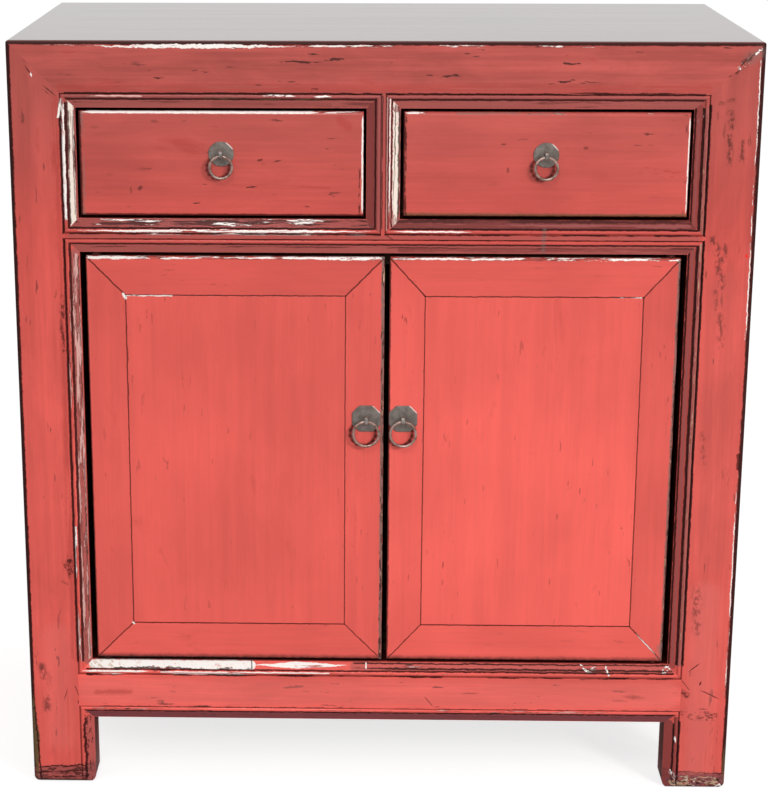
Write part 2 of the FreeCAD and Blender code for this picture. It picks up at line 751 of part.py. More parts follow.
def door_stop(label):
    """A strip under the middle rail that the closed doors meet, clear of the turning stiles."""
    body = new_body(label)
    block(body, "Strip", ("opening_left + frame_face", "opening_right - frame_face"),
          ("door_back + door_stop_gap", "door_back + door_stop_gap + door_stop_width"),
          ("doors_top", "doors_top - door_end_gap - door_stop_height"))
    return body


# Where the pins of the pulls stand, on the doors and on the drawers.
DOOR_PULL = {
    "left": "meeting_left - left_pull_inset",
    "right": "meeting_right + right_pull_inset",
}
DRAWER_PULL = {
    "left": "(opening_left - divider_face / 2) / 2",
    "right": "(opening_right + divider_face / 2) / 2",
}


def pin_span(centre):
    return (f"{centre} - eye_width / 2", f"{centre} + eye_width / 2")


def pin_rise(height):
    return (f"{height} - pin_thickness / 2", f"{height} + pin_thickness / 2")


# Each drawer's opening, from the outer post to the divider.
DRAWER_EDGES = {
    "left": ("opening_left", "-divider_face / 2", "+"),
    "right": ("opening_right", "divider_face / 2", "-"),
}
DRAWER_SIDE_HEAD = ("drawer_front_back - drawer_housing", "drawer_front_back")


def runner_side(label):
    """The left-hand drawer runner, with a guide beside the drawer."""
    body = new_body(label)
    outer = "left + frame_depth"
    inner = "opening_left + runner_width / 2"
    block(body, "Bearer", (outer, inner), ("frame_back", "rear_frame"), ("runner_base", "runner_top"))
    block(body, "Guide", (outer, "opening_left + drawer_box_inset - guide_gap"), ("frame_back", "rear_frame"),
          ("runner_top", "runner_top + guide_height"))
    return body


def runner_centre(label):
    """The runner that both drawers share, with a guide between them."""
    body = new_body(label)
    guide = "divider_face / 2 + drawer_box_inset - guide_gap"
    bearer = "divider_face / 2 + runner_width / 2"
    block(body, "Bearer", (f"-({bearer})", bearer), ("frame_back", "rear_frame"),
          ("runner_base", "runner_top"))
    block(body, "Guide", (f"-({guide})", guide), ("frame_back", "rear_frame"),
          ("runner_top", "runner_top + guide_height"))
    return body


def drawer_front(label, side):
    """A drawer front with rounded arrises, housed for the sides and the floor."""
    body = new_body(label)
    outer, inner, inward = DRAWER_EDGES[side]
    outward = "-" if inward == "+" else "+"
    start = f"{outer} {inward} drawer_side_gap"
    end = f"{inner} {outward} drawer_side_gap"
    stock = block(body, "Stock", (start, end), ("recessed_front", "drawer_front_back"),
                  ("drawer_base", "drawer_top"))
    soften(body, "Arrises", stock, [
        dict(x=start, y="recessed_front"),
        dict(x=end, y="recessed_front"),
        dict(y="recessed_front", z="drawer_base"),
        dict(y="recessed_front", z="drawer_top"),
    ], "edge_radius")
    for name, span in drawer_sides(side).items():
        block(body, f"{name}Housing", span, DRAWER_SIDE_HEAD, ("drawer_base", "drawer_side_top"), cut=True)
    block(body, "FloorHousing", drawer_floor_span(side),
          ("drawer_front_back - drawer_floor_housing", "drawer_front_back"),
          ("drawer_floor_base", "drawer_floor_top"), cut=True)
    block(body, "PinHole", pin_span(DRAWER_PULL[side]), ("recessed_front", "drawer_front_back"),
          pin_rise("drawer_pin"), cut=True)
    return body


def drawer_sides(side):
    """Where the two sides of a drawer stand."""
    outer, inner, inward = DRAWER_EDGES[side]
    outward = "-" if inward == "+" else "+"
    outer_face = f"{outer} {inward} drawer_box_inset"
    inner_face = f"{inner} {outward} drawer_box_inset"
    return {
        "Outer": (outer_face, f"{outer_face} {inward} drawer_board"),
        "Inner": (inner_face, f"{inner_face} {outward} drawer_board"),
    }


def drawer_floor_span(side):
    spans = drawer_sides(side)
    inward = DRAWER_EDGES[side][2]
    outward = "-" if inward == "+" else "+"
    return (f"{spans['Outer'][1]} {outward} drawer_floor_housing",
            f"{spans['Inner'][1]} {inward} drawer_floor_housing")


def drawer_side(label, side, which):
    """A drawer side, grooved for the floor."""
    body = new_body(label)
    span = drawer_sides(side)[which]
    block(body, "Board", span, ("drawer_front_back - drawer_housing", "drawer_rear"),
          ("drawer_base", "drawer_side_top"))
    block(body, "FloorGroove", drawer_floor_span(side),
          ("drawer_front_back - drawer_housing", "drawer_rear"),
          ("drawer_floor_base", "drawer_floor_top"), cut=True)
    return body


def drawer_back(label, side):
    """The board across the back of a drawer, above its floor."""
    body = new_body(label)
    spans = drawer_sides(side)
    block(body, "Board", (spans["Outer"][1], spans["Inner"][1]),
          ("drawer_rear - drawer_board", "drawer_rear"), ("drawer_floor_top", "drawer_side_top"))
    return body


def drawer_floor(label, side):
    body = new_body(label)
    block(body, "Board", drawer_floor_span(side),
          ("drawer_front_back - drawer_floor_housing", "drawer_rear"),
          ("drawer_floor_base", "drawer_floor_top"))
    return body


# Each door: hinge edge, meeting edge, the way from the first to the second, and its stiles' width.
DOORS = {
    "left": ("opening_left + door_side_gap", "meeting_left", "+", "left_stile_face"),
    "right": ("opening_right - door_side_gap", "meeting_right", "-", "right_stile_face"),
}
# Each pivot is rooted in its stile and passes the mitred end of the rail beside it.
PIVOT_ROOTS = {"Top": "door_top - pivot_length", "Base": "door_base - pivot_length"}
DOOR_TENON_DEPTH = ("door_panel_back", "door_panel_back + door_tenon_thickness")
DOOR_BATTEN_RISE = ("door_middle - door_batten_width / 2", "door_middle + door_batten_width / 2")


def door_tenon_rise(end):
    """The height of the hidden tenon between a door rail and its stiles."""
    if end == "Top":
        return ("door_top - door_tenon_shoulder", "door_top - door_rail_face + door_tenon_shoulder / 2")
    return ("door_base + door_tenon_shoulder", "door_base + door_rail_face - door_tenon_shoulder / 2")


def between_stiles(side, past):
    """From one stile of a door to the other. past says how far each end goes over a stile's inner edge."""
    hinge, meeting, inward, face = DOORS[side]
    outward = "-" if inward == "+" else "+"
    return (f"{hinge} {inward} ({face} {past})", f"{meeting} {outward} ({face} {past})")


def door_stile(label, side, at_hinge):
    """An upright of a door frame, mitred at both ends. The one at the hinge carries the pivots."""
    body = new_body(label)
    hinge, meeting, inward, face = DOORS[side]
    outward = "-" if inward == "+" else "+"
    outer = hinge if at_hinge else meeting
    inner_way = inward if at_hinge else outward
    outer_way = outward if at_hinge else inward
    inner = f"{outer} {inner_way} {face}"
    stock = block(body, "Stock", (outer, inner), ("recessed_front", "door_back"), ("door_base", "door_top"))
    soften(body, "Arris", stock, [dict(x=outer, y="recessed_front")], "door_edge_radius")
    for end, edge, middle, past in (("Top", "door_top", "-", "+"), ("Base", "door_base", "+", "-")):
        pocket(body, f"Mitre{end}", "xz", [
            (outer, edge),
            (inner, f"{edge} {middle} door_rail_face"),
            (f"{inner} {inner_way} overrun", f"{edge} {middle} door_rail_face"),
            (f"{inner} {inner_way} overrun", f"{edge} {past} overrun"),
            (outer, f"{edge} {past} overrun"),
        ])
        block(body, f"Mortise{end}", (inner, f"{outer} {inner_way} door_tenon_shoulder"), DOOR_TENON_DEPTH,
              door_tenon_rise(end), cut=True)
    block(body, "PanelGroove", (inner, f"{inner} {outer_way} panel_groove"),
          ("door_tongue_front", "door_panel_back"),
          ("door_base + door_rail_face - panel_groove", "door_top - door_rail_face + panel_groove"), cut=True)
    block(body, "BattenMortise", (inner, f"{inner} {outer_way} panel_groove"),
          ("door_panel_back", "door_back"), DOOR_BATTEN_RISE, cut=True)
    if at_hinge:
        centre = f"{hinge} {inward} pivot_setback"
        for end in ("Top", "Base"):
            rod(body, f"Pivot{end}", "z", (centre, "pivot_depth", PIVOT_ROOTS[end]), "pivot_diameter / 2",
                "2 * pivot_length")
    else:
        block(body, "PinHole", pin_span(DOOR_PULL[side]), ("recessed_front", "door_back"),
              pin_rise("door_pin"), cut=True)
    return body


def door_rail(label, side, end):
    """A level member of a door frame, mitred and tenoned into both stiles."""
    body = new_body(label)
    hinge, meeting, inward, face = DOORS[side]
    outward = "-" if inward == "+" else "+"
    edge, middle, past = ("door_top", "-", "+") if end == "Top" else ("door_base", "+", "-")
    inner = f"{edge} {middle} door_rail_face"
    stock = block(body, "Stock", (hinge, meeting), ("recessed_front", "door_back"), (edge, inner))
    soften(body, "Arris", stock, [dict(y="recessed_front", z=edge)], "door_edge_radius")
    for name, outer, inner_way, outer_way in (("Hinge", hinge, inward, outward),
                                              ("Meeting", meeting, outward, inward)):
        pocket(body, f"Mitre{name}", "xz", [
            (outer, edge),
            (f"{outer} {inner_way} {face}", inner),
            (f"{outer} {inner_way} {face}", f"{inner} {middle} overrun"),
            (f"{outer} {outer_way} overrun", f"{inner} {middle} overrun"),
            (f"{outer} {outer_way} overrun", edge),
        ])
        block(body, f"Tenon{name}",
              (f"{outer} {inner_way} {face}", f"{outer} {inner_way} door_tenon_shoulder"),
              DOOR_TENON_DEPTH, door_tenon_rise(end))
    rod(body, "PivotPassage", "z", (f"{hinge} {inward} pivot_setback", "pivot_depth", PIVOT_ROOTS[end]),
        "pivot_diameter / 2", "2 * pivot_length", cut=True)
    block(body, "PanelGroove", between_stiles(side, "- panel_groove"),
          ("door_tongue_front", "door_panel_back"),
          (inner, f"{edge} {middle} (door_rail_face - panel_groove)"), cut=True)
    return body


def door_panel(label, side):
    """The board in a door frame: its face lies flush, and a tongue behind enters the grooves."""
    body = new_body(label)
    block(body, "Field", between_stiles(side, "+ panel_joint"), ("recessed_front", "door_panel_back"),
          ("door_base + door_rail_face + panel_joint", "door_top - door_rail_face - panel_joint"))
    block(body, "Tongue", between_stiles(side, "- panel_reach"), ("door_tongue_front", "door_panel_back"),
          ("door_base + door_rail_face - panel_reach", "door_top - door_rail_face + panel_reach"))
    return body


def door_batten(label, side):
    """The batten across the back of a door panel, let into the stiles."""
    body = new_body(label)
    block(body, "Batten", between_stiles(side, "- panel_reach"), ("door_panel_back", "door_back"),
          DOOR_BATTEN_RISE)
    return body


def pull_plate(label, centre, height, kind):
    """A thin plate behind the eye of the pin: cut corners, rounded, with a bevelled front."""
    body = new_body(label)
    corner = "plate_corner"
    half_width = f"{kind}_plate_width / 2"
    half_height = f"{kind}_plate_height / 2"
    raised = pad(body, "Plate", "xz", [
        (f"{centre} - {half_width} + {corner}", f"{height} - {half_height}"),
        (f"{centre} + {half_width} - {corner}", f"{height} - {half_height}"),
        (f"{centre} + {half_width}", f"{height} - {half_height} + {corner}"),
        (f"{centre} + {half_width}", f"{height} + {half_height} - {corner}"),
        (f"{centre} + {half_width} - {corner}", f"{height} + {half_height}"),
        (f"{centre} - {half_width} + {corner}", f"{height} + {half_height}"),
        (f"{centre} - {half_width}", f"{height} + {half_height} - {corner}"),
        (f"{centre} - {half_width}", f"{height} - {half_height} + {corner}"),
    ], "plate_front", "plate_thickness")
    doc.recompute()
    corners = []
    for number, edge in enumerate(raised.Shape.Edges, start=1):
        start, end = [vertex.Point for vertex in edge.Vertexes]
        if abs(start.y - end.y) > NEAR:
            corners.append(f"Edge{number}")
    rounded = body.newObject("PartDesign::Fillet", "Corners")
    rounded.Base = (raised, corners)
    bind(rounded, "Radius", f"{kind}_plate_round")
    doc.recompute()
    rim = edges_at(rounded, dict(y="plate_front"))
    bevel = body.newObject("PartDesign::Chamfer", "Bevel")
    bevel.Base = (rounded, rim)
    bind(bevel, "Size", "plate_bevel")
    block(body, "PinHole", pin_span(centre), ("plate_front - overrun", "recessed_front + overrun"),
          pin_rise(height), cut=True)
    return body


def split_pin(label, centre, height, wood_back):
    """The pin: a tall eye in front, a shank through the wood, and two legs turned out behind.

    The ring hangs in the lower end of the eye, so the shank enters the wood a little above it."""
    body = new_body(label)
    start = f"{centre} - eye_width / 2"
    low = f"{height} - eye_rise / 2"
    high = f"{height} + eye_rise / 2"
    for name, level in (("Crown", high), ("Seat", low)):
        rod(body, name, "x", (start, "eye_depth", level), "eye_radius", "eye_width")
    block(body, "Waist", pin_span(centre), ("eye_depth - eye_radius", "eye_depth + eye_radius"), (low, high))
    block(body, "Shank", pin_span(centre), ("eye_depth + eye_bore + eye_wall / 2", wood_back),
          pin_rise(height))
    block(body, "Legs", pin_span(centre), (wood_back, f"{wood_back} + pin_leg_thickness"),
          (f"{height} - pin_leg_length", f"{height} + pin_leg_length"))
    for name, level in (("BoreCrown", high), ("BoreSeat", low)):
        rod(body, name, "x", (f"{start} - overrun", "eye_depth", level), "eye_bore",
            "eye_width + 2 * overrun", cut=True)
    block(body, "BoreWaist", (f"{start} - overrun", f"{centre} + eye_width / 2 + overrun"),
          ("eye_depth - eye_bore", "eye_depth + eye_bore"), (low, high), cut=True)
    return body


def pull_ring(label, centre, height, diameter):
    """A round ring that hangs in the eye."""
    body = new_body(label)
    ring = body.newObject("PartDesign::AdditiveTorus", "Ring")
    ring.Placement = FreeCAD.Placement(FreeCAD.Vector(), FreeCAD.Rotation(FreeCAD.Vector(1, 0, 0), 90))
    bind(ring, "Radius1", f"({diameter} - ring_wire) / 2")
    bind(ring, "Radius2", "ring_wire / 2")
    bind(ring, "Placement.Base.x", centre)
    bind(ring, "Placement.Base.y", "eye_depth")
    bind(ring, "Placement.Base.z", f"{height} - ({diameter} - ring_wire) / 2")
    return body


def build_case():
    """Posts, rails and boards: everything that stands still."""
    left_pieces = {
        "post_front": post("post_front_left", True),
        "post_back": post("post_back_left", False),
        "top_rail": top_rail_side("top_rail_left"),
        "bottom_rail": bottom_rail_side("bottom_rail_left"),
        "side_panel": side_panel("side_panel_left"),
        "runner": runner_side("runner_left"),
    }
    pieces = list(left_pieces.values())
    for name, source in left_pieces.items():
        pieces.append(mirrored(f"{name}_right", source, FreeCAD.Vector(1, 0, 0)))
    pieces += [
        top_rail_across("top_rail_front", True),
        top_rail_across("top_rail_back", False),
        top_panel("top_panel"),
        top_battens("top_battens"),
        middle_rail_front("middle_rail_front"),
        rear_rail("middle_rail_back", "doors_top", "drawers_bottom", REAR_MIDDLE_TENON, False),
        drawer_divider("drawer_divider"),
        bottom_rail_front("bottom_rail_front"),
        rear_rail("bottom_rail_back", "foot_height", "doors_bottom", REAR_BOTTOM_TENON, True),
        back_panel("back_panel_upper", "drawers_bottom", "drawers_top"),
        back_panel("back_panel_lower", "doors_bottom", "doors_top"),
        bottom_board("bottom_board"),
        runner_centre("runner_centre"),
        door_stop("door_stop"),
    ]
    return pieces


def build_drawer(side):
    name = f"drawer_{side}"
    return [
        drawer_front(f"{name}_front", side),
        drawer_side(f"{name}_side_outer", side, "Outer"),
        drawer_side(f"{name}_side_inner", side, "Inner"),
        drawer_back(f"{name}_back", side),
        drawer_floor(f"{name}_floor", side),
        pull_plate(f"{name}_plate", DRAWER_PULL[side], "drawer_pin", "drawer"),
        split_pin(f"{name}_pin", DRAWER_PULL[side], "drawer_pin", "drawer_front_back"),
        pull_ring(f"{name}_ring", DRAWER_PULL[side], "drawer_eye", "drawer_ring_diameter"),
    ]


def build_door(side):
    name = f"door_{side}"
    return [
        door_stile(f"{name}_hinge_stile", side, True),
        door_stile(f"{name}_meeting_stile", side, False),
        door_rail(f"{name}_top_rail", side, "Top"),
        door_rail(f"{name}_bottom_rail", side, "Base"),
        door_panel(f"{name}_panel", side),
        door_batten(f"{name}_batten", side),
        pull_plate(f"{name}_plate", DOOR_PULL[side], "door_pin", "door"),
        split_pin(f"{name}_pin", DOOR_PULL[side], "door_pin", "door_back"),
        pull_ring(f"{name}_ring", DOOR_PULL[side], "door_eye", "door_ring_diameter"),
    ]


pieces = build_case()
for side in ("left", "right"):
    pieces += build_drawer(side)
    pieces += build_door(side)
doc.recompute()

for thing in doc.Objects:
    if "Invalid" in thing.State or "Error" in thing.State:
        raise RuntimeError(f"{thing.Name} of {thing.Label}: {thing.State}")
for piece in pieces:
    if piece.Shape.isNull() or not piece.Shape.isValid():
        raise RuntimeError(f"{piece.Label} has no sound shape")

os.makedirs("parts", exist_ok=True)
for piece in pieces:
    piece.Shape.exportStep(f"parts/{piece.Label}.step")
print(len(pieces), "pieces")
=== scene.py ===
import math

import bpy
from mathutils import Matrix, Vector


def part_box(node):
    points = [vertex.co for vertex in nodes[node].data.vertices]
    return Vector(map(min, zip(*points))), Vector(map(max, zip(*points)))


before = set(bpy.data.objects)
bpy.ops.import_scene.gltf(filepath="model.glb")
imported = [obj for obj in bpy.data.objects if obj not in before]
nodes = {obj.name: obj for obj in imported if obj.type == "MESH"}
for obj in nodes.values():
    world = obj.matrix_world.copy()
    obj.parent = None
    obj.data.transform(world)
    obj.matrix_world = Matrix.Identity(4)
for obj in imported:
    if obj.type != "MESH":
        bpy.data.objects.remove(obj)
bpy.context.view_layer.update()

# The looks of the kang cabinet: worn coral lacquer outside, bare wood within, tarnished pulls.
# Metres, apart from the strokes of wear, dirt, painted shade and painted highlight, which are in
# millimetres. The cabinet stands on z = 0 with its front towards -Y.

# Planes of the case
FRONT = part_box("post_front_left")[0].y
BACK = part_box("post_back_left")[1].y
LEFT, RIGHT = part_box("post_front_left")[0].x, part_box("post_front_right")[1].x
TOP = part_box("top_panel")[1].z
OPENING_HALF = round(-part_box("post_front_left")[1].x, 4)


# camera, light and floor

# The camera as solved from the photograph: degrees, metres, millimetres, shares of the picture
CAMERA_YAW, CAMERA_PITCH = -1.317, 16.02
CAMERA_PLACE = (-0.0199, -2.5712, 1.1645)
CAMERA_LENS, CAMERA_SENSOR = 96.16, 36
CAMERA_SHIFT = (0.0841, 0.0042)
# The light from all sides, and the same as the gloss mirrors it
WORLD, WORLD_IN_GLOSS = 0.6, 0.75
# Each lamp's name, place, target, size, power and colour, and whether the gloss mirrors it
LAMPS = (
    ("key", (2.5, -3.2, 2), (0, 0, 0.5), (0.8, 0.8), 80, (1, 0.985, 0.965), False),
    ("window_high", (-0.35, -2.9, 3), (0, -0.2, 0.5), (0.55, 1.3), 26, (1, 0.99, 0.98), True),
    ("window_side", (1.9, -1.35, 0.98), (0, -0.2, 0.76), (0.3, 1.25), 6, (1, 0.985, 0.96), False),
)
FLOOR_RADIUS, FLOOR_MIDDLE = 22, (0, 2, 0)
FLOOR_TONES = (0.42, 0.42, 0.42), (0.46, 0.46, 0.46)
# How far the floor is lifted to white for the camera
FLOOR_GLOW = 0.75


def add_camera():
    yaw, pitch = math.radians(CAMERA_YAW), math.radians(CAMERA_PITCH)
    ahead = Vector((math.sin(yaw) * math.cos(pitch), math.cos(yaw) * math.cos(pitch), -math.sin(pitch)))
    across = Vector((math.cos(yaw), -math.sin(yaw), 0))
    up = across.cross(ahead)
    x, y, z = CAMERA_PLACE
    data = bpy.data.cameras.new("camera")
    data.lens = CAMERA_LENS
    data.sensor_width = CAMERA_SENSOR
    data.shift_x, data.shift_y = CAMERA_SHIFT
    camera = bpy.data.objects.new("camera", data)
    camera.matrix_world = Matrix((
        (across.x, up.x, -ahead.x, x),
        (across.y, up.y, -ahead.y, y),
        (across.z, up.z, -ahead.z, z),
        (0, 0, 0, 1),
    ))
    bpy.context.scene.collection.objects.link(camera)
    bpy.context.scene.camera = camera


def add_panel_light(name, place, target, size, power, colour, in_gloss):
    """A soft rectangular lamp that looks at a target."""
    data = bpy.data.lights.new(name, "AREA")
    data.shape = "RECTANGLE"
    data.size, data.size_y = size
    data.energy = power
    data.color = colour
    lamp = bpy.data.objects.new(name, data)
    lamp.location = place
    lamp.visible_glossy = in_gloss
    lamp.rotation_euler = (Vector(target) - Vector(place)).to_track_quat("-Z", "Y").to_euler()
    bpy.context.scene.collection.objects.link(lamp)


class Graph:
    """A node tree, built by short calls. Sockets and plain numbers can be mixed."""

    def __init__(self, tree):
        self.nodes = tree.nodes
        self.links = tree.links
        self.nodes.clear()

    def fill(self, socket, given):
        """Link a socket, or set it to a plain value."""
        if isinstance(given, bpy.types.NodeSocket):
            self.links.new(given, socket)
        else:
            socket.default_value = given

    def node(self, kind, inputs=None, **settings):
        """A new node. Its kind is Blender's name without ShaderNode at the front."""
        made = self.nodes.new(kind if kind.startswith("Node") else "ShaderNode" + kind)
        for key, setting in settings.items():
            setattr(made, key, setting)
        for key, given in (inputs or {}).items():
            self.fill(made.inputs[key], given)
        return made

    def math(self, operation, *values):
        return self.node("Math", dict(enumerate(values)), operation=operation).outputs[0]

    def times(self, first, second):
        return self.math("MULTIPLY", first, second)

    def clamp(self, given, low=0, high=1):
        return self.node("Clamp", {0: given, 1: low, 2: high}).outputs[0]

    def vector(self, operation, *values):
        keys = (0, "Scale") if operation == "SCALE" else (0, 1)
        made = self.node("VectorMath", operation=operation)
        for key, given in zip(keys, values):
            self.fill(made.inputs[key], given)
        return made.outputs["Value" if operation in ("DOT_PRODUCT", "LENGTH") else "Vector"]

    def remap(self, given, low, high, to_low=0, to_high=1, soft=True):
        """From one range to another, held within it. The soft way is held by its own curve."""
        kind = "SMOOTHSTEP" if soft else "LINEAR"
        made = self.node("MapRange", {0: given, 1: low, 2: high, 3: to_low, 4: to_high},
                         interpolation_type=kind, clamp=False).outputs[0]
        return made if soft else self.clamp(made, min(to_low, to_high), max(to_low, to_high))

    def stretch(self, scale, shift=(0, 0, 0)):
        return self.node("Mapping", {"Vector": self.place, "Location": shift, "Scale": scale}).outputs[0]

    def noise(self, place, scale=1, detail=3, rough=0.5, twist=0):
        return self.node("TexNoise", {"Vector": place, "Scale": scale, "Detail": detail,
                                      "Roughness": rough, "Distortion": twist}).outputs[0]

    def mix(self, factor, first, second, blend="MIX"):
        made = self.node("Mix", {0: factor}, data_type="RGBA", blend_type=blend)
        for index, given in ((6, first), (7, second)):
            plain = not isinstance(given, bpy.types.NodeSocket)
            self.fill(made.inputs[index], (*given, 1) if plain else given)
        return made.outputs[2]

    def steps(self, given, stops):
        """A smooth curve through pairs of place and level."""
        made = self.node("ValToRGB", {0: given})
        made.color_ramp.interpolation = "EASE"
        ramp = made.color_ramp.elements
        ramp[0].position, ramp[1].position = stops[0][0], stops[-1][0]
        for place, _ in stops[1:-1]:
            ramp.new(place)
        for element, (_, level) in zip(ramp, stops):
            element.color = (level, level, level, 1)
        return self.node("SeparateColor", {0: made.outputs[0]}).outputs[0]

    def nearby(self, reach):
        """How open a place is: 1 in the open, less where other surfaces lie within reach."""
        return self.node("AmbientOcclusion", {"Distance": reach}, samples=6).outputs["AO"]


class Surface(Graph):
    """A material's node tree, with the place on the object at hand."""

    def __init__(self, name):
        self.material = bpy.data.materials.new(name)
        self.material.use_nodes = True
        super().__init__(self.material.node_tree)
        self.place = self.node("TexCoord").outputs["Object"]
        axes = self.node("SeparateXYZ", {0: self.place})
        self.x, self.y, self.z = axes.outputs

    def finish(self, colour, rough, bump, depth, **plain):
        """The surface itself. Plain settings go straight to the shader's own sockets."""
        inputs = {}
        for key, value in plain.items():
            inputs[key.replace("_", " ").title().replace("Ior", "IOR")] = value
        relief = self.node("Bump", {"Height": bump, "Strength": 1, "Distance": depth})
        self.shader = self.node("BsdfPrincipled", {
            "Base Color": colour, "Roughness": rough, "Normal": relief.outputs[0], **inputs})
        self.node("OutputMaterial", {0: self.shader.outputs[0]})
        return self.material


def add_world():
    """White behind the object, and a plain soft grey as the light from all sides."""
    world = bpy.data.worlds.new("studio")
    bpy.context.scene.world = world
    world.use_nodes = True
    graph = Graph(world.node_tree)
    path = graph.node("LightPath").outputs
    level = graph.node("MapRange", {"Value": path["Is Glossy Ray"], "To Min": WORLD,
                                    "To Max": WORLD_IN_GLOSS}).outputs[0]
    plain = graph.node("Background", {"Color": (1, 1, 1, 1), "Strength": level}).outputs[0]
    white = graph.node("Background", {"Color": (1, 1, 1, 1), "Strength": 1}).outputs[0]
    mixed = graph.node("MixShader", {0: path["Is Camera Ray"], 1: plain, 2: white}).outputs[0]
    graph.node("OutputWorld", {0: mixed})


def add_floor():
    graph = Surface("pale_floor")
    cloud = graph.noise(graph.place, 1.3, 2)
    bump = graph.noise(graph.place, 90, 3)
    graph.finish(graph.mix(cloud, *FLOOR_TONES), 0.9, bump, 0.0002, specular_ior_level=0)
    path = graph.node("LightPath")
    glow = graph.times(path.outputs["Is Camera Ray"], FLOOR_GLOW)
    graph.fill(graph.shader.inputs["Emission Color"], (1, 1, 1, 1))
    graph.fill(graph.shader.inputs["Emission Strength"], glow)
    bpy.ops.mesh.primitive_circle_add(vertices=64, radius=FLOOR_RADIUS, fill_type="NGON",
                                      location=FLOOR_MIDDLE)
    floor = bpy.context.object
    floor.name = "floor"
    floor.data.materials.append(graph.material)


bpy.context.scene.view_settings.view_transform = "Standard"
add_camera()
add_world()
add_floor()
for lamp in LAMPS:
    add_panel_light(*lamp)


# lacquer

CORAL = (0.76, 0.108, 0.088)
DULL_CORAL = (0.665, 0.126, 0.106)
DEEP = (0.4, 0.045, 0.036)
DARK = (0.034, 0.006, 0.005)
# This dark colour is dirt in most strokes, and painted shade along the doors' lower and left edges and in
# some grooves
GRIME_AND_SHADE = (0.1, 0.026, 0.022)
MAUVE = (0.3, 0.082, 0.078)
MAROON = (0.22, 0.045, 0.042)
PURPLE = (0.17, 0.05, 0.06)
BROWN = (0.36, 0.1, 0.09)
OLIVE = (0.13, 0.08, 0.036)
TAN = (0.5, 0.34, 0.22)
GREY = (0.2, 0.14, 0.125)
# The pale ground of worn strokes, which on many edges stands for a painted highlight
PALE_GROUND_AND_HIGHLIGHT = (0.96, 0.91, 0.87)
CREAM = (0.84, 0.74, 0.65)
ROSE = (0.74, 0.42, 0.38)
BLOOM = (0.78, 0.2, 0.18)
SCARLET = (0.8, 0.02, 0.02)
TOP_BROWN = (0.15, 0.045, 0.036)
# The lacquer is darker towards the top, partly its own duller tone and partly painted shade, and a little
# darker at the feet: height in metres, then tone.
HEIGHT_TONES_AND_SHADE = ((0.03, 0.95), (0.2, 1), (0.42, 0.98), (0.6, 0.88), (0.78, 0.72), (0.88, 0.66))
GRAINS = {"x": (0.035, 1, 1), "y": (1, 0.035, 1), "z": (1, 1, 0.035)}
# The clear coat, and how rough it and the polished top are
COAT, TOP_COAT = 0.45, 1
COAT_ROUGH, TOP_ROUGH = 0.14, 0.16
LACQUER_SHINE = 0.15
LACQUER_RELIEF = 0.00007
# A flat stroke reaches this deep behind the front, and fades there.
STROKE_DEPTH, STROKE_FADE = 0.0075, 0.002
# A stroke's edge moves by this much for each unit of its wobble.
WOBBLE = 0.0026


def touches(name, stroke):
    """Whether a stroke comes near the box of a piece."""
    low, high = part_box(name)
    reach = stroke["width"] / 2 + stroke["blur"] + 2 * stroke["wobble"]
    for axis in (0, 2) if stroke["flat"] else (0, 1, 2):
        ends = sorted((stroke["from"][axis], stroke["to"][axis]))
        if ends[1] + reach < low[axis] * 1000 or ends[0] - reach > high[axis] * 1000:
            return False
    return True


STROKE_INPUTS = {
    "Color": ("Colour", "Tint", "Ground"),
    "Vector": ("Place", "Shake", "Start", "Along", "Reach", "Scale", "Shift"),
    "Float": ("Sound", "Fine", "Front", "Wobble", "Half", "Outer", "Inner", "Points", "Kept", "Soft",
              "Strength", "Pale", "Bright"),
}
STROKE_GROUPS = {}


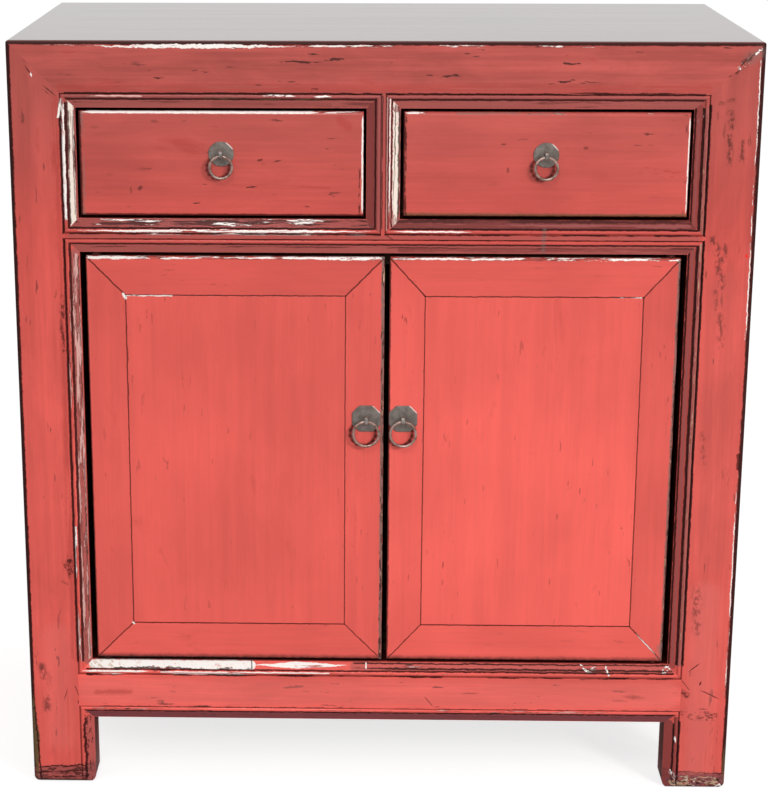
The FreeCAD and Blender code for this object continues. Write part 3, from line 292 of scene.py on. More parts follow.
def stroke_group(features):
    """A line or band of wear, dirt, painted shade or painted highlight as a node group, with only the
    features that it needs.
    """
    if features in STROKE_GROUPS:
        return STROKE_GROUPS[features]
    group = bpy.data.node_groups.new("stroke_" + "_".join(sorted(features)), "ShaderNodeTree")
    for kind, names in STROKE_INPUTS.items():
        for name in names:
            group.interface.new_socket(name, in_out="INPUT", socket_type="NodeSocket" + kind)
    group.interface.new_socket("Colour", in_out="OUTPUT", socket_type="NodeSocketColor")
    group.interface.new_socket("Sound", in_out="OUTPUT", socket_type="NodeSocketFloat")
    graph = Graph(group)
    given = graph.node("NodeGroupInput").outputs
    graph.place = given["Place"]
    colour, sound = given["Colour"], given["Sound"]
    here = graph.vector("ADD", graph.place, graph.vector("SCALE", given["Shake"], given["Wobble"]))
    if "flat" in features:
        here = graph.vector("MULTIPLY", here, (1, 0, 1))
    here = graph.vector("SUBTRACT", here, given["Start"])
    share = graph.clamp(graph.vector("DOT_PRODUCT", here, given["Along"]))
    nearest = graph.vector("SCALE", given["Reach"], share)
    gap = graph.vector("LENGTH", graph.vector("SUBTRACT", here, nearest))
    if "taper" in features:
        ends = graph.math("MINIMUM", share, graph.math("SUBTRACT", 1, share))
        thin = graph.math("SUBTRACT", 1, graph.clamp(graph.times(ends, given["Points"])))
        gap = graph.math("ADD", gap, graph.times(thin, given["Half"]))
    mask = graph.remap(gap, given["Outer"], given["Inner"])
    if "flat" in features:
        mask = graph.times(mask, given["Front"])
    if "kept" in features:
        grainy = graph.noise(graph.stretch(given["Scale"], given["Shift"]), 1, 4, 0.6)
        grainy = graph.math("DIVIDE", graph.math("SUBTRACT", grainy, given["Kept"]), given["Soft"])
        mask = graph.times(mask, graph.remap(grainy, -1, 1))
    if "tint" in features:
        part = graph.times(mask, given["Strength"])
        colour = graph.mix(part, colour, given["Tint"])
        sound = graph.times(sound, graph.math("SUBTRACT", 1, part))
    # The pale ground is wear, and on many edges, beads and bands a painted highlight
    if "pale" in features:
        shift = graph.vector("ADD", given["Shift"], (40, 0.4, 5))
        ragged = graph.noise(graph.stretch(given["Scale"], shift), 1, 5, 0.68)
        ragged = graph.math("SUBTRACT", ragged, given["Pale"])
        wear_and_highlight = graph.times(mask, graph.remap(ragged, -0.005, 0.03))
        rim = graph.times(mask, graph.remap(ragged, -0.07, -0.02))
        colour = graph.mix(graph.times(rim, 0.6), colour, GRIME_AND_SHADE)
        ground = graph.mix(graph.remap(given["Fine"], 0.3, 0.47), ROSE, given["Ground"])
        colour = graph.mix(graph.times(wear_and_highlight, given["Bright"]), colour, ground)
    graph.node("NodeGroupOutput", {0: colour, 1: sound})
    STROKE_GROUPS[features] = group
    return group


def noise_level(share):
    """The level of noise that about this share of it stays above."""
    return 0.78 - 0.56 * share


def strokes_on(graph, colour, sound, strokes, seed):
    """Lines and bands of wear, dirt, painted shade and painted highlight: each runs from one point
    to another in mm, with a width in mm.

    tint is a colour and its strength. pale is the share turned to the pale ground, which is wear
    and on many edges a painted highlight; bright is how strongly, and ground its colour. kept is
    the share of the stroke that is there at all, and soft how gently that fades. taper is the length
    of its pointed ends. run and grit say how fine its ragged edge is along it and across it. sound is
    how much of the clear coat is left, which a tint takes away."""
    fine = graph.node("TexNoise", {"Vector": graph.place, "Scale": 95, "Detail": 6, "Roughness": 0.72})
    parts = graph.node("SeparateColor", {0: fine.outputs[1]}).outputs
    shake = graph.node("CombineXYZ", dict(enumerate(parts))).outputs[0]
    shake = graph.vector("SUBTRACT", shake, (0.5, 0.5, 0.5))
    depth = FRONT + STROKE_DEPTH
    near_front = graph.remap(graph.y, depth + STROKE_FADE, depth, soft=False)
    for number, stroke in enumerate(strokes):
        start, end = (Vector(stroke[key]) / 1000 for key in ("from", "to"))
        reach = end - start
        half, blur = stroke["width"] / 2000, stroke["blur"] / 1000
        spans = [abs(step) for step in reach]
        scale = [stroke.get("grit", 210)] * 3
        scale[spans.index(max(spans))] = stroke["run"]
        tint, strength = stroke["tint"] or (DARK, 0)
        features = frozenset(key for key in ("flat", "taper", "kept", "tint", "pale")
                             if stroke.get(key))
        made = graph.node("Group", {}, node_tree=stroke_group(features))
        for key, value in {
            "Colour": colour, "Sound": sound, "Place": graph.place, "Shake": shake,
            "Fine": fine.outputs[0], "Front": near_front, "Wobble": WOBBLE * stroke["wobble"],
            "Start": start, "Along": reach / reach.length_squared, "Reach": reach,
            "Half": half, "Outer": half + blur, "Inner": max(half - blur, 0),
            "Points": reach.length * 1000 / stroke.get("taper", 1),
            "Scale": scale, "Shift": (seed + number * 3.7, 0.3, number * 1.9),
            "Kept": noise_level(stroke.get("kept", 1)), "Soft": stroke.get("soft", 0.03),
            "Tint": (*tint, 1), "Strength": strength,
            "Pale": noise_level(stroke.get("pale", 0)), "Bright": stroke.get("bright", 0.97),
            "Ground": (*stroke.get("ground", PALE_GROUND_AND_HIGHLIGHT), 1),
        }.items():
            graph.fill(made.inputs[key], value)
        colour, sound = made.outputs
    return colour, sound


def top_colour(graph, streaks):
    clouds = graph.noise(graph.place, 5, 4, 0.6)
    light, deep, deepest = ([part * level for part in TOP_BROWN] for level in (1.2, 0.85, 0.5))
    colour = graph.mix(graph.remap(clouds, 0.3, 0.7), deep, light)
    return graph.mix(graph.remap(streaks, 0.45, 0.75, 0, 0.45), colour, deepest)


def inside_the_case(graph):
    """1 deep inside the openings, and 0 on the front, the sides, the back and the top."""
    opening = graph.remap(graph.math("ABSOLUTE", graph.x), OPENING_HALF + 0.0015, OPENING_HALF + 0.0005,
                          soft=False)
    inside = graph.times(graph.remap(graph.y, FRONT + 0.0075, FRONT + 0.011), opening)
    inside = graph.times(inside, graph.remap(graph.y, BACK - 0.02, BACK - 0.03))
    return graph.times(inside, graph.remap(graph.z, TOP - 0.004, TOP - 0.006))


def lacquer(name, along, strokes=(), shade=1, seed=0, uneven=1, top=False):
    """Coral lacquer over wood, brushed along one axis and worn at its edges, with painted shade and painted
    highlights.

    The larger uneven is, the more the coat varies. top gives the face on top its polish."""
    graph = Surface(name)
    grain = graph.stretch(GRAINS[along], (seed, seed * 0.7, seed * 1.3))
    half_grain = graph.stretch([0.3 + 0.7 * g for g in GRAINS[along]], (seed + 9, 0, 5))
    short_grain = graph.stretch([0.16 + 0.84 * g for g in GRAINS[along]], (seed + 3, 7, 1))
    clouds = graph.noise(graph.stretch((1, 1, 1), (seed, 3, seed)), 5, 3, 0.5)
    blots = graph.noise(half_grain, 24, 5, 0.62, 0.6)
    brush = graph.noise(grain, 46, 5, 0.62, 0.5)
    hairs = graph.noise(grain, 300, 3, 0.6)
    marks = graph.noise(short_grain, 150, 3, 0.6)
    tone_and_painted_light = graph.remap(clouds, 0.3, 0.7, 0.93, 1.06)
    for layer, amount in ((blots, 0.045), (brush, 0.05), (hairs, 0.022)):
        swing = amount * uneven
        tone_and_painted_light = graph.times(tone_and_painted_light, graph.remap(layer, 0.28, 0.72, 1 - swing, 1 + swing))
    # Darker towards the top: partly the lacquer's own tone, partly painted shade
    height = graph.steps(graph.z, HEIGHT_TONES_AND_SHADE)
    # Painted light: the colour is lighter to the left and darker to the right, to even out the key lamp
    # that shines from the right
    side = graph.remap(graph.x, LEFT, RIGHT, 1.06, 0.95, soft=False)
    tone_and_painted_light = graph.times(tone_and_painted_light, graph.times(height, side))
    tone_and_painted_light = graph.times(tone_and_painted_light, shade)
    bright = graph.node("CombineColor", {0: tone_and_painted_light, 1: tone_and_painted_light, 2: tone_and_painted_light}).outputs[0]
    tone = graph.mix(graph.remap(graph.z, 0.66, 0.86), CORAL, DULL_CORAL)
    colour = graph.mix(1, tone, bright, blend="MULTIPLY")
    colour = graph.mix(graph.remap(blots, 0.6, 0.78, 0, 0.42 * uneven), colour, DEEP)
    # Short scratches and dots of dirt, more in some places than in others
    crowd = graph.remap(clouds, 0.42, 0.66, 0.15, 1)
    crowd = graph.times(graph.remap(marks, 0.655, 0.7), crowd)
    colour = graph.mix(graph.times(crowd, 0.62 * uneven), colour, GRIME_AND_SHADE)
    sound = graph.math("SUBTRACT", 1, graph.times(crowd, 0.6))
    # Deep inside the openings the lacquer is painted dark, and below the case a dull plum: both are painted
    # shade.
    painted_inner_shade = graph.mix(graph.remap(graph.z, 0.1, 0.088), DARK, MAROON)
    colour = graph.mix(graph.times(inside_the_case(graph), 0.93), colour, painted_inner_shade)
    # Dirt and painted shade: the narrow gaps are darkened where other surfaces lie near
    open_air = graph.nearby(0.008)
    colour = graph.mix(graph.remap(open_air, 0.55, 0.15, 0, 0.8), colour, DARK)
    sound = graph.times(sound, graph.remap(open_air, 0.2, 0.6, 0.3, 1))
    near = [stroke for stroke in strokes if touches(name, stroke)]
    colour, sound = strokes_on(graph, colour, sound, near, seed)
    rough = graph.remap(brush, 0.3, 0.7, 0.36, 0.46)
    coat = graph.times(sound, COAT)
    if top:
        on_top = graph.remap(graph.z, TOP - 0.0016, TOP - 0.0008, soft=False)
        colour = graph.mix(on_top, colour, top_colour(graph, brush))
        rough = graph.math("ADD", graph.times(rough, graph.math("SUBTRACT", 1, on_top)),
                           graph.times(on_top, TOP_ROUGH))
        polish = graph.math("SUBTRACT", TOP_COAT, coat)
        coat = graph.math("ADD", coat, graph.times(on_top, polish))
    relief = graph.math("ADD", graph.times(brush, 0.5), graph.times(hairs, 0.15))
    relief = graph.math("ADD", relief, graph.times(clouds, 0.6))
    return graph.finish(colour, rough, relief, LACQUER_RELIEF, coat_weight=coat, coat_roughness=COAT_ROUGH,
                        specular_ior_level=LACQUER_SHINE)


def top_lacquer(name, seed=0):
    """The top: dark red-brown lacquer, rubbed and polished."""
    graph = Surface(name)
    streaks = graph.noise(graph.stretch(GRAINS["x"], (seed, 0, 0)), 46, 5, 0.62, 0.5)
    rough = graph.remap(streaks, 0.3, 0.7, TOP_ROUGH - 0.03, TOP_ROUGH + 0.03)
    relief = graph.math("ADD", streaks, graph.noise(graph.place, 5, 4, 0.6))
    return graph.finish(top_colour(graph, streaks), rough, relief, LACQUER_RELIEF, coat_weight=TOP_COAT,
                        coat_roughness=COAT_ROUGH, specular_ior_level=LACQUER_SHINE)


def bare_wood(name, along, seed=0, pale=1):
    """Old softwood, unfinished and browned."""
    graph = Surface(name)
    grain = graph.stretch(GRAINS[along], (seed, seed, 0))
    rings = graph.noise(grain, 55, 5, 0.6, 0.8)
    hairs = graph.noise(grain, 420, 3, 0.6)
    clouds = graph.noise(graph.place, 5, 4, 0.6)
    early, late = ([part * pale for part in tone] for tone in ((0.32, 0.19, 0.105), (0.16, 0.085, 0.045)))
    colour = graph.mix(graph.remap(rings, 0.3, 0.7), early, late)
    colour = graph.mix(graph.remap(hairs, 0.45, 0.7, 0, 0.35), colour, (0.08, 0.042, 0.024))
    colour = graph.mix(graph.remap(clouds, 0.5, 0.75, 0, 0.5), colour, (0.1, 0.058, 0.036))
    # Painted shade where other surfaces lie near
    open_air = graph.nearby(0.03)
    colour = graph.mix(graph.remap(open_air, 0.7, 0.2, 0, 0.6), colour, (0.035, 0.018, 0.012))
    rough = graph.remap(rings, 0.3, 0.7, 0.62, 0.82)
    bump = graph.math("ADD", rings, graph.times(hairs, 0.5))
    return graph.finish(colour, rough, bump, 0.0008, specular_ior_level=0.3)


def metal(name, first, second, rough, seed=0, strokes=(), shine=0.85, near=0.003, shut=0.6):
    """Old metal in patches of two tones, dark where it is shut in by what lies near.

    The dark begins where a place is less open than shut."""
    graph = Surface(name)
    patches = graph.noise(graph.stretch((1, 1, 1), (seed, 0, 0)), 130, 4, 0.6, 0.4)
    pits = graph.noise(graph.place, 900, 3, 0.6)
    colour = graph.mix(graph.remap(patches, 0.35, 0.65), first, second)
    colour = graph.mix(graph.remap(pits, 0.55, 0.75, 0, 0.6), colour, [part * 0.35 for part in first])
    shaded = graph.remap(graph.nearby(near), shut, shut - 0.4, 0, 0.85)
    colour = graph.mix(shaded, colour, (0.02, 0.012, 0.01))
    colour, _ = strokes_on(graph, colour, 1, strokes, seed)
    roughness = graph.remap(patches, 0.3, 0.7, rough, rough + 0.2)
    bump = graph.math("ADD", patches, graph.times(pits, 0.4))
    return graph.finish(colour, roughness, bump, 0.0002, metallic=shine)


def line(x0, z0, x1, z1, width, tint=None, y=None, **rest):
    """A stroke on the front, or at the depth y (one, or a pair for its two ends)."""
    y0, y1 = (0, 0) if y is None else (y if isinstance(y, tuple) else (y, y))
    return {"from": (x0, y0, z0), "to": (x1, y1, z1), "width": width, "flat": y is None,
            "tint": tint, "wobble": 1.2, "blur": 0.35, "run": 22, **rest}


def level(z, x0, x1, *rest, **more):
    return line(x0, z, x1, z, *rest, **more)


def upright(x, z0, z1, *rest, **more):
    return line(x, z0, x, z1, *rest, **more)


def smudge(x0, z0, x1, z1, width, tint, **rest):
    """A cloud of dark dots."""
    dots = {"kept": 0.5, "soft": 0.08, "blur": 2.5, "wobble": 4, "run": 170, "grit": 300}
    return line(x0, z0, x1, z1, width, tint, **{**dots, **rest})


def mirrored(strokes):
    out = []
    for stroke in strokes:
        flipped = {key: (-stroke[key][0], *stroke[key][1:]) for key in ("from", "to")}
        out.append({**stroke, **flipped})
    return out


def finish(name, *rest, make=lacquer, **settings):
    """Give a node its material, which is lacquer unless make is another one."""
    material = make(name, *rest, **settings)
    for slot in nodes[name].material_slots:
        slot.material = material


# Places on the front in millimetres. The front and back planes, and the case's half width and height
F, B, SIDE, HEIGHT = FRONT * 1000, BACK * 1000, RIGHT * 1000, TOP * 1000
# The inner edges of the posts, which are the openings' edges, and the moulding along them: the
# middle of its sloped band, and the middle of its bead
OPENING, BAND, BEAD = OPENING_HALF * 1000, 350, 358.6
# The sloped bands from the top down: below the top rail, on the middle rail, on the bottom rail
TOP_BAND, UPPER_BAND, LOWER_BAND, SILL_BAND = 830, 694.5, 665, 155
# The lower end of the openings' mouldings on the posts, and the underside of the bottom rail
SILL, UNDERSIDE = 160, 90
# The colour and strength of the darkest strokes: dark joints and cracks, and painted shade in grooves and
# gaps
BLACK = (DARK, 0.99)
LINE = (DARK, 0.93)
# The edge of fine pale chips
FLECKS = {"wobble": 5, "run": 260, "grit": 520}


def post_arris_wear_and_shade():
    """Black-brown along the front arris of the left post: wear, and painted shade where the rounded edge
    turns from the light.
    """
    return [upright(-SIDE, 0, HEIGHT, 9.5, BLACK, F, wobble=1.6, blur=0.8)]


def top_arris(x0, x1, y):
    """Black-brown wear along an arris of the top."""
    return [level(HEIGHT, x0, x1, 9, BLACK, y, wobble=1.3, blur=0.8)]


# Each table holds the marks of one part of the front, as they are on the cabinet in the
# photograph, in the order in which they are laid over each other.
# Beside real wear and dirt these tables hold painted light: dark tints on bands that face away from the
# light and black lines in grooves and gaps are painted shade, and many pale lines on edges, beads and bands
# that face the light are painted highlights.
FOOT = [
    # Painted shade: the inner face of the foot, under the case, is darkened
    upright(-OPENING, 0, 88, 12, (DARK, 0.6), F + 20, kept=0.7, blur=3, wobble=3, run=8),
    upright(-OPENING, 0, 88, 12, (BROWN, 0.5), F + 44, kept=0.6, blur=3, wobble=3, run=8),
    upright(-OPENING, 0, 88, 5, (DARK, 0.75), F + 66, kept=0.8, blur=1.5, wobble=3, run=8),
    line(-SIDE, 9, -OPENING, 11, 25, (MAUVE, 0.72), wobble=4, blur=2.5),
    smudge(-414, 11, -350, 13, 19, (DARK, 0.75), kept=0.42, run=90, soft=0.04),
    line(-412, 9, -352, 11, 15, pale=0.24, ground=ROSE, **FLECKS),
    line(-SIDE, 20, -346, 24, 1.7, LINE, kept=0.85, wobble=4),
    line(-416, 13, -350, 17, 1.4, LINE, kept=0.75, wobble=4),
    line(-412, 7, -352, 9, 1.4, (DARK, 0.7), kept=0.7, wobble=4),
    level(0, -SIDE, -OPENING, 9, (DARK, 0.88), F, wobble=3, blur=1.5),
]
LEFT_FOOT = FOOT + [
    line(-415, 3, -417.5, 118, 12, (OLIVE, 0.95), kept=0.88, taper=70, wobble=3, blur=0.8),
    line(-411, 3, -416, 100, 2, LINE, kept=0.7, wobble=3),
    upright(-350, 4, 84, 10, (MAUVE, 0.6), wobble=2),
    line(-356, 5, -355.5, 84, 2.8, LINE, kept=0.88, wobble=4),
    line(-353, 6, -352, 84, 11, (DARK, 0.8), kept=0.36, wobble=4, run=110, grit=420),
    line(-350, 4, -349, 80, 9, pale=0.13, ground=ROSE, wobble=4, run=60),
    line(-415, 5, -348, 8, 11, pale=0.12, wobble=5, run=70),
    line(-406, 3, -398, 5, 4, pale=0.35, wobble=4, run=120),
    line(-362, 12, -352, 6, 7, pale=0.22, wobble=4, run=120),
]
RIGHT_FOOT = mirrored(FOOT) + [
    upright(418, 0, 60, 8, (OLIVE, 0.6), kept=0.6, taper=50, wobble=3),
    # Painted shade: the band, bead and grooves on the foot face away from the light and are painted dark
    # maroon and black
    upright(350, 4, 84, 10, (MAROON, 0.85), wobble=1.5),
    upright(358.8, 4, 92, 5.5, (MAROON, 0.85), wobble=1.5),
    upright(355.6, 4, 84, 2.2, BLACK, wobble=1.6),
    upright(362.2, 4, 88, 2.8, BLACK, kept=0.95, wobble=1.8),
    upright(386, 10, 250, 34, (BLOOM, 0.3), kept=0.8, blur=10, run=8),
    upright(351.5, 40, 82, 2, pale=0.22, ground=ROSE, wobble=2),
    line(357.5, 70, 358, 60, 2.6, pale=0.85, taper=5, wobble=2),
    line(355, 22, 359, 14, 5, pale=0.5, **FLECKS),
    level(10, 358, 412, 17, (PURPLE, 0.8), kept=0.6, blur=2, wobble=4, run=60),
    level(9, 360, 410, 14, (TAN, 0.85), kept=0.48, wobble=5, run=90, grit=200),
    level(9, 362, 408, 12, pale=0.34, ground=CREAM, wobble=5, run=110, grit=240),
    level(7, 360, 410, 12, (DARK, 0.9), kept=0.4, wobble=5, run=100, grit=230),
    line(409, 2, 414, 7, 1.6, pale=0.9),
    line(414, 7, 416, 3, 1.6, pale=0.8),
]
LEFT_MOULD = [
    # The moulding faces the light: its cream band and the pale lines on its bead are painted highlights as
    # well as wear, and the black lines in its grooves are painted shade
    upright(-BAND, 700, 826, 9.5, (BROWN, 0.9), wobble=0.8),
    line(-350.4, 692, -350.2, 834, 6.4, pale=0.72, ground=CREAM, wobble=1.6, run=9),
    line(-353.6, 694, -353.4, 832, 1.8, (DARK, 0.85), kept=0.62, wobble=2, run=12),
    line(-346.4, 694, -346.6, 832, 2, (DARK, 0.85), kept=0.6, wobble=2, run=14),
    line(-350.6, 700, -350.2, 826, 1.1, (DARK, 0.8), kept=0.42, wobble=2.4, run=26),
    upright(-352.2, 704, 822, 1.1, (GRIME_AND_SHADE, 0.85), kept=0.6, wobble=1.4, run=14),
    line(-348.2, 704, -348.6, 822, 1, (GRIME_AND_SHADE, 0.8), kept=0.55, wobble=1.4, run=14),
    upright(-BAND, SILL, 660, 9.5, (BROWN, 0.8), wobble=0.8),
    upright(-BAND, 165, 655, 8, pale=0.47, ground=ROSE, bright=0.8, wobble=2, run=14),
    line(-351, 165, -350, 400, 5, pale=0.24, wobble=2.5, run=24),
    upright(-347, 165, 655, 1.2, (DARK, 0.7), kept=0.6, wobble=2),
    upright(-361.8, SILL, 830, 2.6, LINE, kept=0.88, wobble=1.4),
    upright(-355.4, SILL, 830, 2.8, LINE),
    upright(-BEAD, 700, 832, 3.4, pale=0.56, wobble=1.6, run=16),
    upright(-366.5, 165, 836, 6, (DEEP, 0.45), kept=0.62, blur=3, wobble=3, run=7),
    upright(-BEAD, SILL, 690, 3.4, pale=0.34, ground=ROSE, wobble=1.6, run=16),
    line(-358.6, 165, -359, 330, 2.6, pale=0.42, wobble=2, run=18),
    line(-363.5, 815, -360, 835, 2.2, pale=0.7, wobble=1.5),
    smudge(-366, 610, -366, 545, 3.4, (DARK, 0.8)),
]
LEFT_MARKS = [
    upright(-386, 190, 60, 34, (BLOOM, 0.22), kept=0.75, blur=10, run=8),
    line(-398.3, 872, -391.5, 862, 1.6, (DARK, 0.8), taper=5, blur=0.5),
    line(-392.2, 865, -391.2, 860, 2.6, pale=1, taper=3),
    line(-381, 852, -364, 838, 1.5, (GRIME_AND_SHADE, 0.9), taper=8, blur=0.5, wobble=2),
    line(-382, 848, -369, 838, 1.1, (GRIME_AND_SHADE, 0.7), taper=8, blur=0.4, wobble=2),
    smudge(-405.5, 154, -404, 140, 6.5, (GRIME_AND_SHADE, 0.8), kept=0.62, blur=3.5),
    smudge(-401, 110, -401, 97, 6.5, (GRIME_AND_SHADE, 0.7), kept=0.6, blur=3.5),
    line(-375.4, 124.5, -380, 108, 1.1, (DARK, 0.7), taper=6),
    line(-366.4, 127, -352.7, 91, 1.2, (GRIME_AND_SHADE, 0.8), wobble=1.5, kept=0.85),
    smudge(-367.5, 291, -367, 270, 7, (DARK, 0.9)),
    smudge(-374, 287, -373, 277, 4.5, (DARK, 0.7)),
    line(-377, 262, -371, 258, 2, (GRIME_AND_SHADE, 0.4), blur=1.2),
]
RIGHT_MOULD = [
    # The moulding faces away from the light: the dark maroon of its band and bead and the black lines in
    # its grooves are painted shade
    upright(BAND, SILL, 826, 9.5, (MAROON, 0.6), wobble=0.8),
    upright(350.2, 165, 815, 2.4, (MAUVE, 0.85), kept=0.7, wobble=1.4, run=10),
    upright(346.4, 162, 826, 2.2, BLACK, kept=0.88, wobble=1.4),
    upright(BEAD, 162, 826, 4.2, (BROWN, 0.9), wobble=1),
    upright(355.2, 162, 826, 3, BLACK),
    upright(361.9, 162, 830, 2.8, BLACK, wobble=1.4),
    upright(358.3, 170, 820, 1.2, pale=0.38, ground=TAN, wobble=1.6, run=14),
    line(347, 811, 354, 820, 5, pale=0.34, ground=ROSE, **FLECKS),
    upright(BAND, 168, 700, 5, pale=0.05, wobble=2.5),
]
RIGHT_MARKS = [
    upright(388, 300, 620, 42, (BROWN, 0.14), kept=0.8, blur=12, run=8),
    # A painted highlight along the rounded outer edge of the post
    upright(414.6, 120, 880, 1.1, pale=0.52, wobble=1.8, run=8),
    line(414.5, 425, 415.5, 409, 4, (DARK, 0.8), wobble=3),
    smudge(384, 823, 386, 806, 6, (GRIME_AND_SHADE, 0.8)),
    smudge(384, 801, 386.5, 766, 5.5, (GRIME_AND_SHADE, 0.85)),
    smudge(398, 790, 399, 770, 4, (GRIME_AND_SHADE, 0.8)),
    smudge(371, 833, 386, 836, 4, (GRIME_AND_SHADE, 0.6)),
    smudge(372, 680, 382, 656, 8, (GRIME_AND_SHADE, 0.8)),
    smudge(385, 673, 387, 662, 4, (GRIME_AND_SHADE, 0.75)),
    smudge(379.5, 652, 385, 626, 7, (GRIME_AND_SHADE, 0.75)),
    smudge(378, 620, 379, 600, 4, (GRIME_AND_SHADE, 0.65)),
    smudge(384, 590, 387, 556, 6, (GRIME_AND_SHADE, 0.6)),
    smudge(371, 450, 373, 415, 5, (GRIME_AND_SHADE, 0.5)),
    smudge(374, 260, 376, 205, 9, (GRIME_AND_SHADE, 0.6), kept=0.46),
    smudge(368, 100, 400, 92, 12, (GRIME_AND_SHADE, 0.7), kept=0.4),
    line(410, 661.5, 410.8, 660, 2.2, (SCARLET, 1)),
    line(369.3, 153, 383, 164.7, 1.2, LINE, taper=5),
    line(383.2, 135, 385.3, 141.5, 2, LINE, taper=3),
    line(384.7, 129.8, 408, 118.4, 1.2, LINE, taper=5),
    line(382.3, 105.1, 395.5, 105.2, 1.2, (DARK, 0.7), taper=5),
    smudge(393.4, 100, 406, 97.2, 4, (DARK, 0.85)),
    smudge(361, 128, 369, 123, 5.5, (DARK, 0.8)),
    line(357.6, 148, 371, 130.5, 1, (GRIME_AND_SHADE, 0.8), wobble=1.5),
]
RIGHT_CORNER = [
    line(414, 893, 390, 872, 1.5, LINE, taper=10, wobble=2.5, kept=0.85),
    line(412, 888, 402, 882, 12, (GREY, 0.45), blur=5, wobble=3),
    line(414, 892, 409, 887, 3.2, pale=0.55, **FLECKS),
    line(399, 880, 391, 871, 4, pale=0.42, **FLECKS),
    smudge(402, 884, 388, 868, 7, (DARK, 0.75), kept=0.42),
    line(392, 869, 380, 862, 1.2, (GRIME_AND_SHADE, 0.8), kept=0.6, wobble=2.5),
]


def round_foot(corner_x, corner_y, reach=76):
    """The worn bottom of a foot on the two outer faces that meet at a corner."""
    faces = [((corner_x, corner_y), (corner_x, corner_y - math.copysign(reach, corner_y)))]
    if corner_y > 0:
        faces.append(((corner_x, corner_y), (corner_x - math.copysign(reach, corner_x), corner_y)))
    out = []
    for (x0, y0), (x1, y1) in faces:
        depth = (y0, y1)
        out += [
            line(x0, 8, x1, 10, 24, (MAUVE, 0.7), depth, wobble=4, blur=2.5),
            line(x0, 20, x1, 24, 1.8, LINE, depth, kept=0.85, wobble=4),
            line(x0, 12, x1, 15, 1.6, LINE, depth, kept=0.7, wobble=4),
            level(6, x0, x1, 12, None, depth, pale=0.26, ground=ROSE, wobble=5, run=200, grit=240),
            level(0, x0, x1, 8, (DARK, 0.88), depth, wobble=3, blur=1.5),
        ]
    return out


def worn_arris(x, y):
    """Short pale scuffs beside a black-brown corner of the case."""
    z0, z1 = 60, 860
    return [upright(x, z0, z1, 11, None, y, pale=0.24, wobble=3, run=16, grit=150),
            upright(x, z0, z1, 8, BLACK, y, kept=0.9, wobble=1.6, blur=0.8)]


LEFT_POST = round_foot(-SIDE, F) + post_arris_wear_and_shade() + LEFT_MOULD + LEFT_FOOT + LEFT_MARKS
RIGHT_POST = (round_foot(SIDE, F) + mirrored(post_arris_wear_and_shade()) + RIGHT_MOULD + RIGHT_FOOT + RIGHT_MARKS
              + RIGHT_CORNER)
SIDES = (-SIDE, SIDE)
finish("post_front_left", "z", LEFT_POST, seed=1, shade=0.96, uneven=1.8)
finish("post_front_right", "z", RIGHT_POST, seed=2, shade=0.95, uneven=2)
for i, name in enumerate(("post_back_left", "post_back_right")):
    finish(name, "z", round_foot(SIDES[i], B) + worn_arris(SIDES[i], B), seed=3 + i, uneven=1.4)

TOP_RAIL = top_arris(-SIDE, SIDE, F) + [
    # A pale line below the front arris: painted highlight as well as wear
    line(-322, 893.8, -98, 894, 4.4, pale=0.86, taper=70, wobble=2.6, run=26),
    line(-322, 892.4, -98, 892.6, 2.6, (DARK, 0.9), kept=0.34, wobble=2.6, run=30),
    line(-98, 894.4, 230, 894.6, 1.8, pale=0.42),
    line(-405, 894.6, -322, 894.4, 1.4, pale=0.4, ground=ROSE),
    # Painted shade: the band below the rail, which faces down, and the black lines in the grooves. The pale
    # lines on the bead are painted highlights.
    level(TOP_BAND, -352, 352, 9.5, (BROWN, 0.6), wobble=0.8),
    level(848, -360, 360, 9, (DEEP, 0.4), kept=0.62, blur=4, wobble=3, run=5),
    level(841.8, -355, 355, 2.4, LINE, kept=0.76, wobble=1.4, run=12),
    level(835.4, -355, 355, 2.6, LINE, kept=0.92, run=12),
    level(838.5, -355, 355, 3.6, (MAUVE, 0.55), wobble=1),
    level(838.6, -350, -270, 2, pale=0.4, ground=ROSE, wobble=1.4, run=14),
    line(-135, 839.6, -98, 839.2, 1.8, pale=0.7, taper=6, run=60),
    line(-78, 838.8, -58, 838.4, 2, pale=0.8, taper=6, run=60),
    level(836, -200, -60, 3, (OLIVE, 0.5), kept=0.6, wobble=1.5),
    level(TOP_BAND, -OPENING, OPENING, 6, (DARK, 0.5), kept=0.34, wobble=2, run=12),
    level(843.5, 200, 330, 1.4, LINE, kept=0.6, taper=20),
    line(-190, 830, -60, 829, 5, (MAROON, 0.35), blur=2, wobble=2),
]
finish("top_rail_front", "x", TOP_RAIL + RIGHT_CORNER + LEFT_MARKS, seed=5, shade=0.97,
       uneven=3.2, top=True)
finish("top_rail_back", "x", top_arris(-SIDE, SIDE, B), seed=6, top=True)


def side_top(x):
    """A rubbed line and the black-brown arris along one side of the top."""
    return [level(894.5, x, x, 4, None, (F + 50, B - 70), pale=0.45, taper=40, wobble=2.4, run=16),
            *top_arris(x, x, (F, B))]


for i, name in enumerate(("top_rail_left", "top_rail_right")):
    finish(name, "y", side_top(SIDES[i]), seed=7 + i, uneven=1.8, top=True)
finish("top_panel", make=top_lacquer, seed=1)

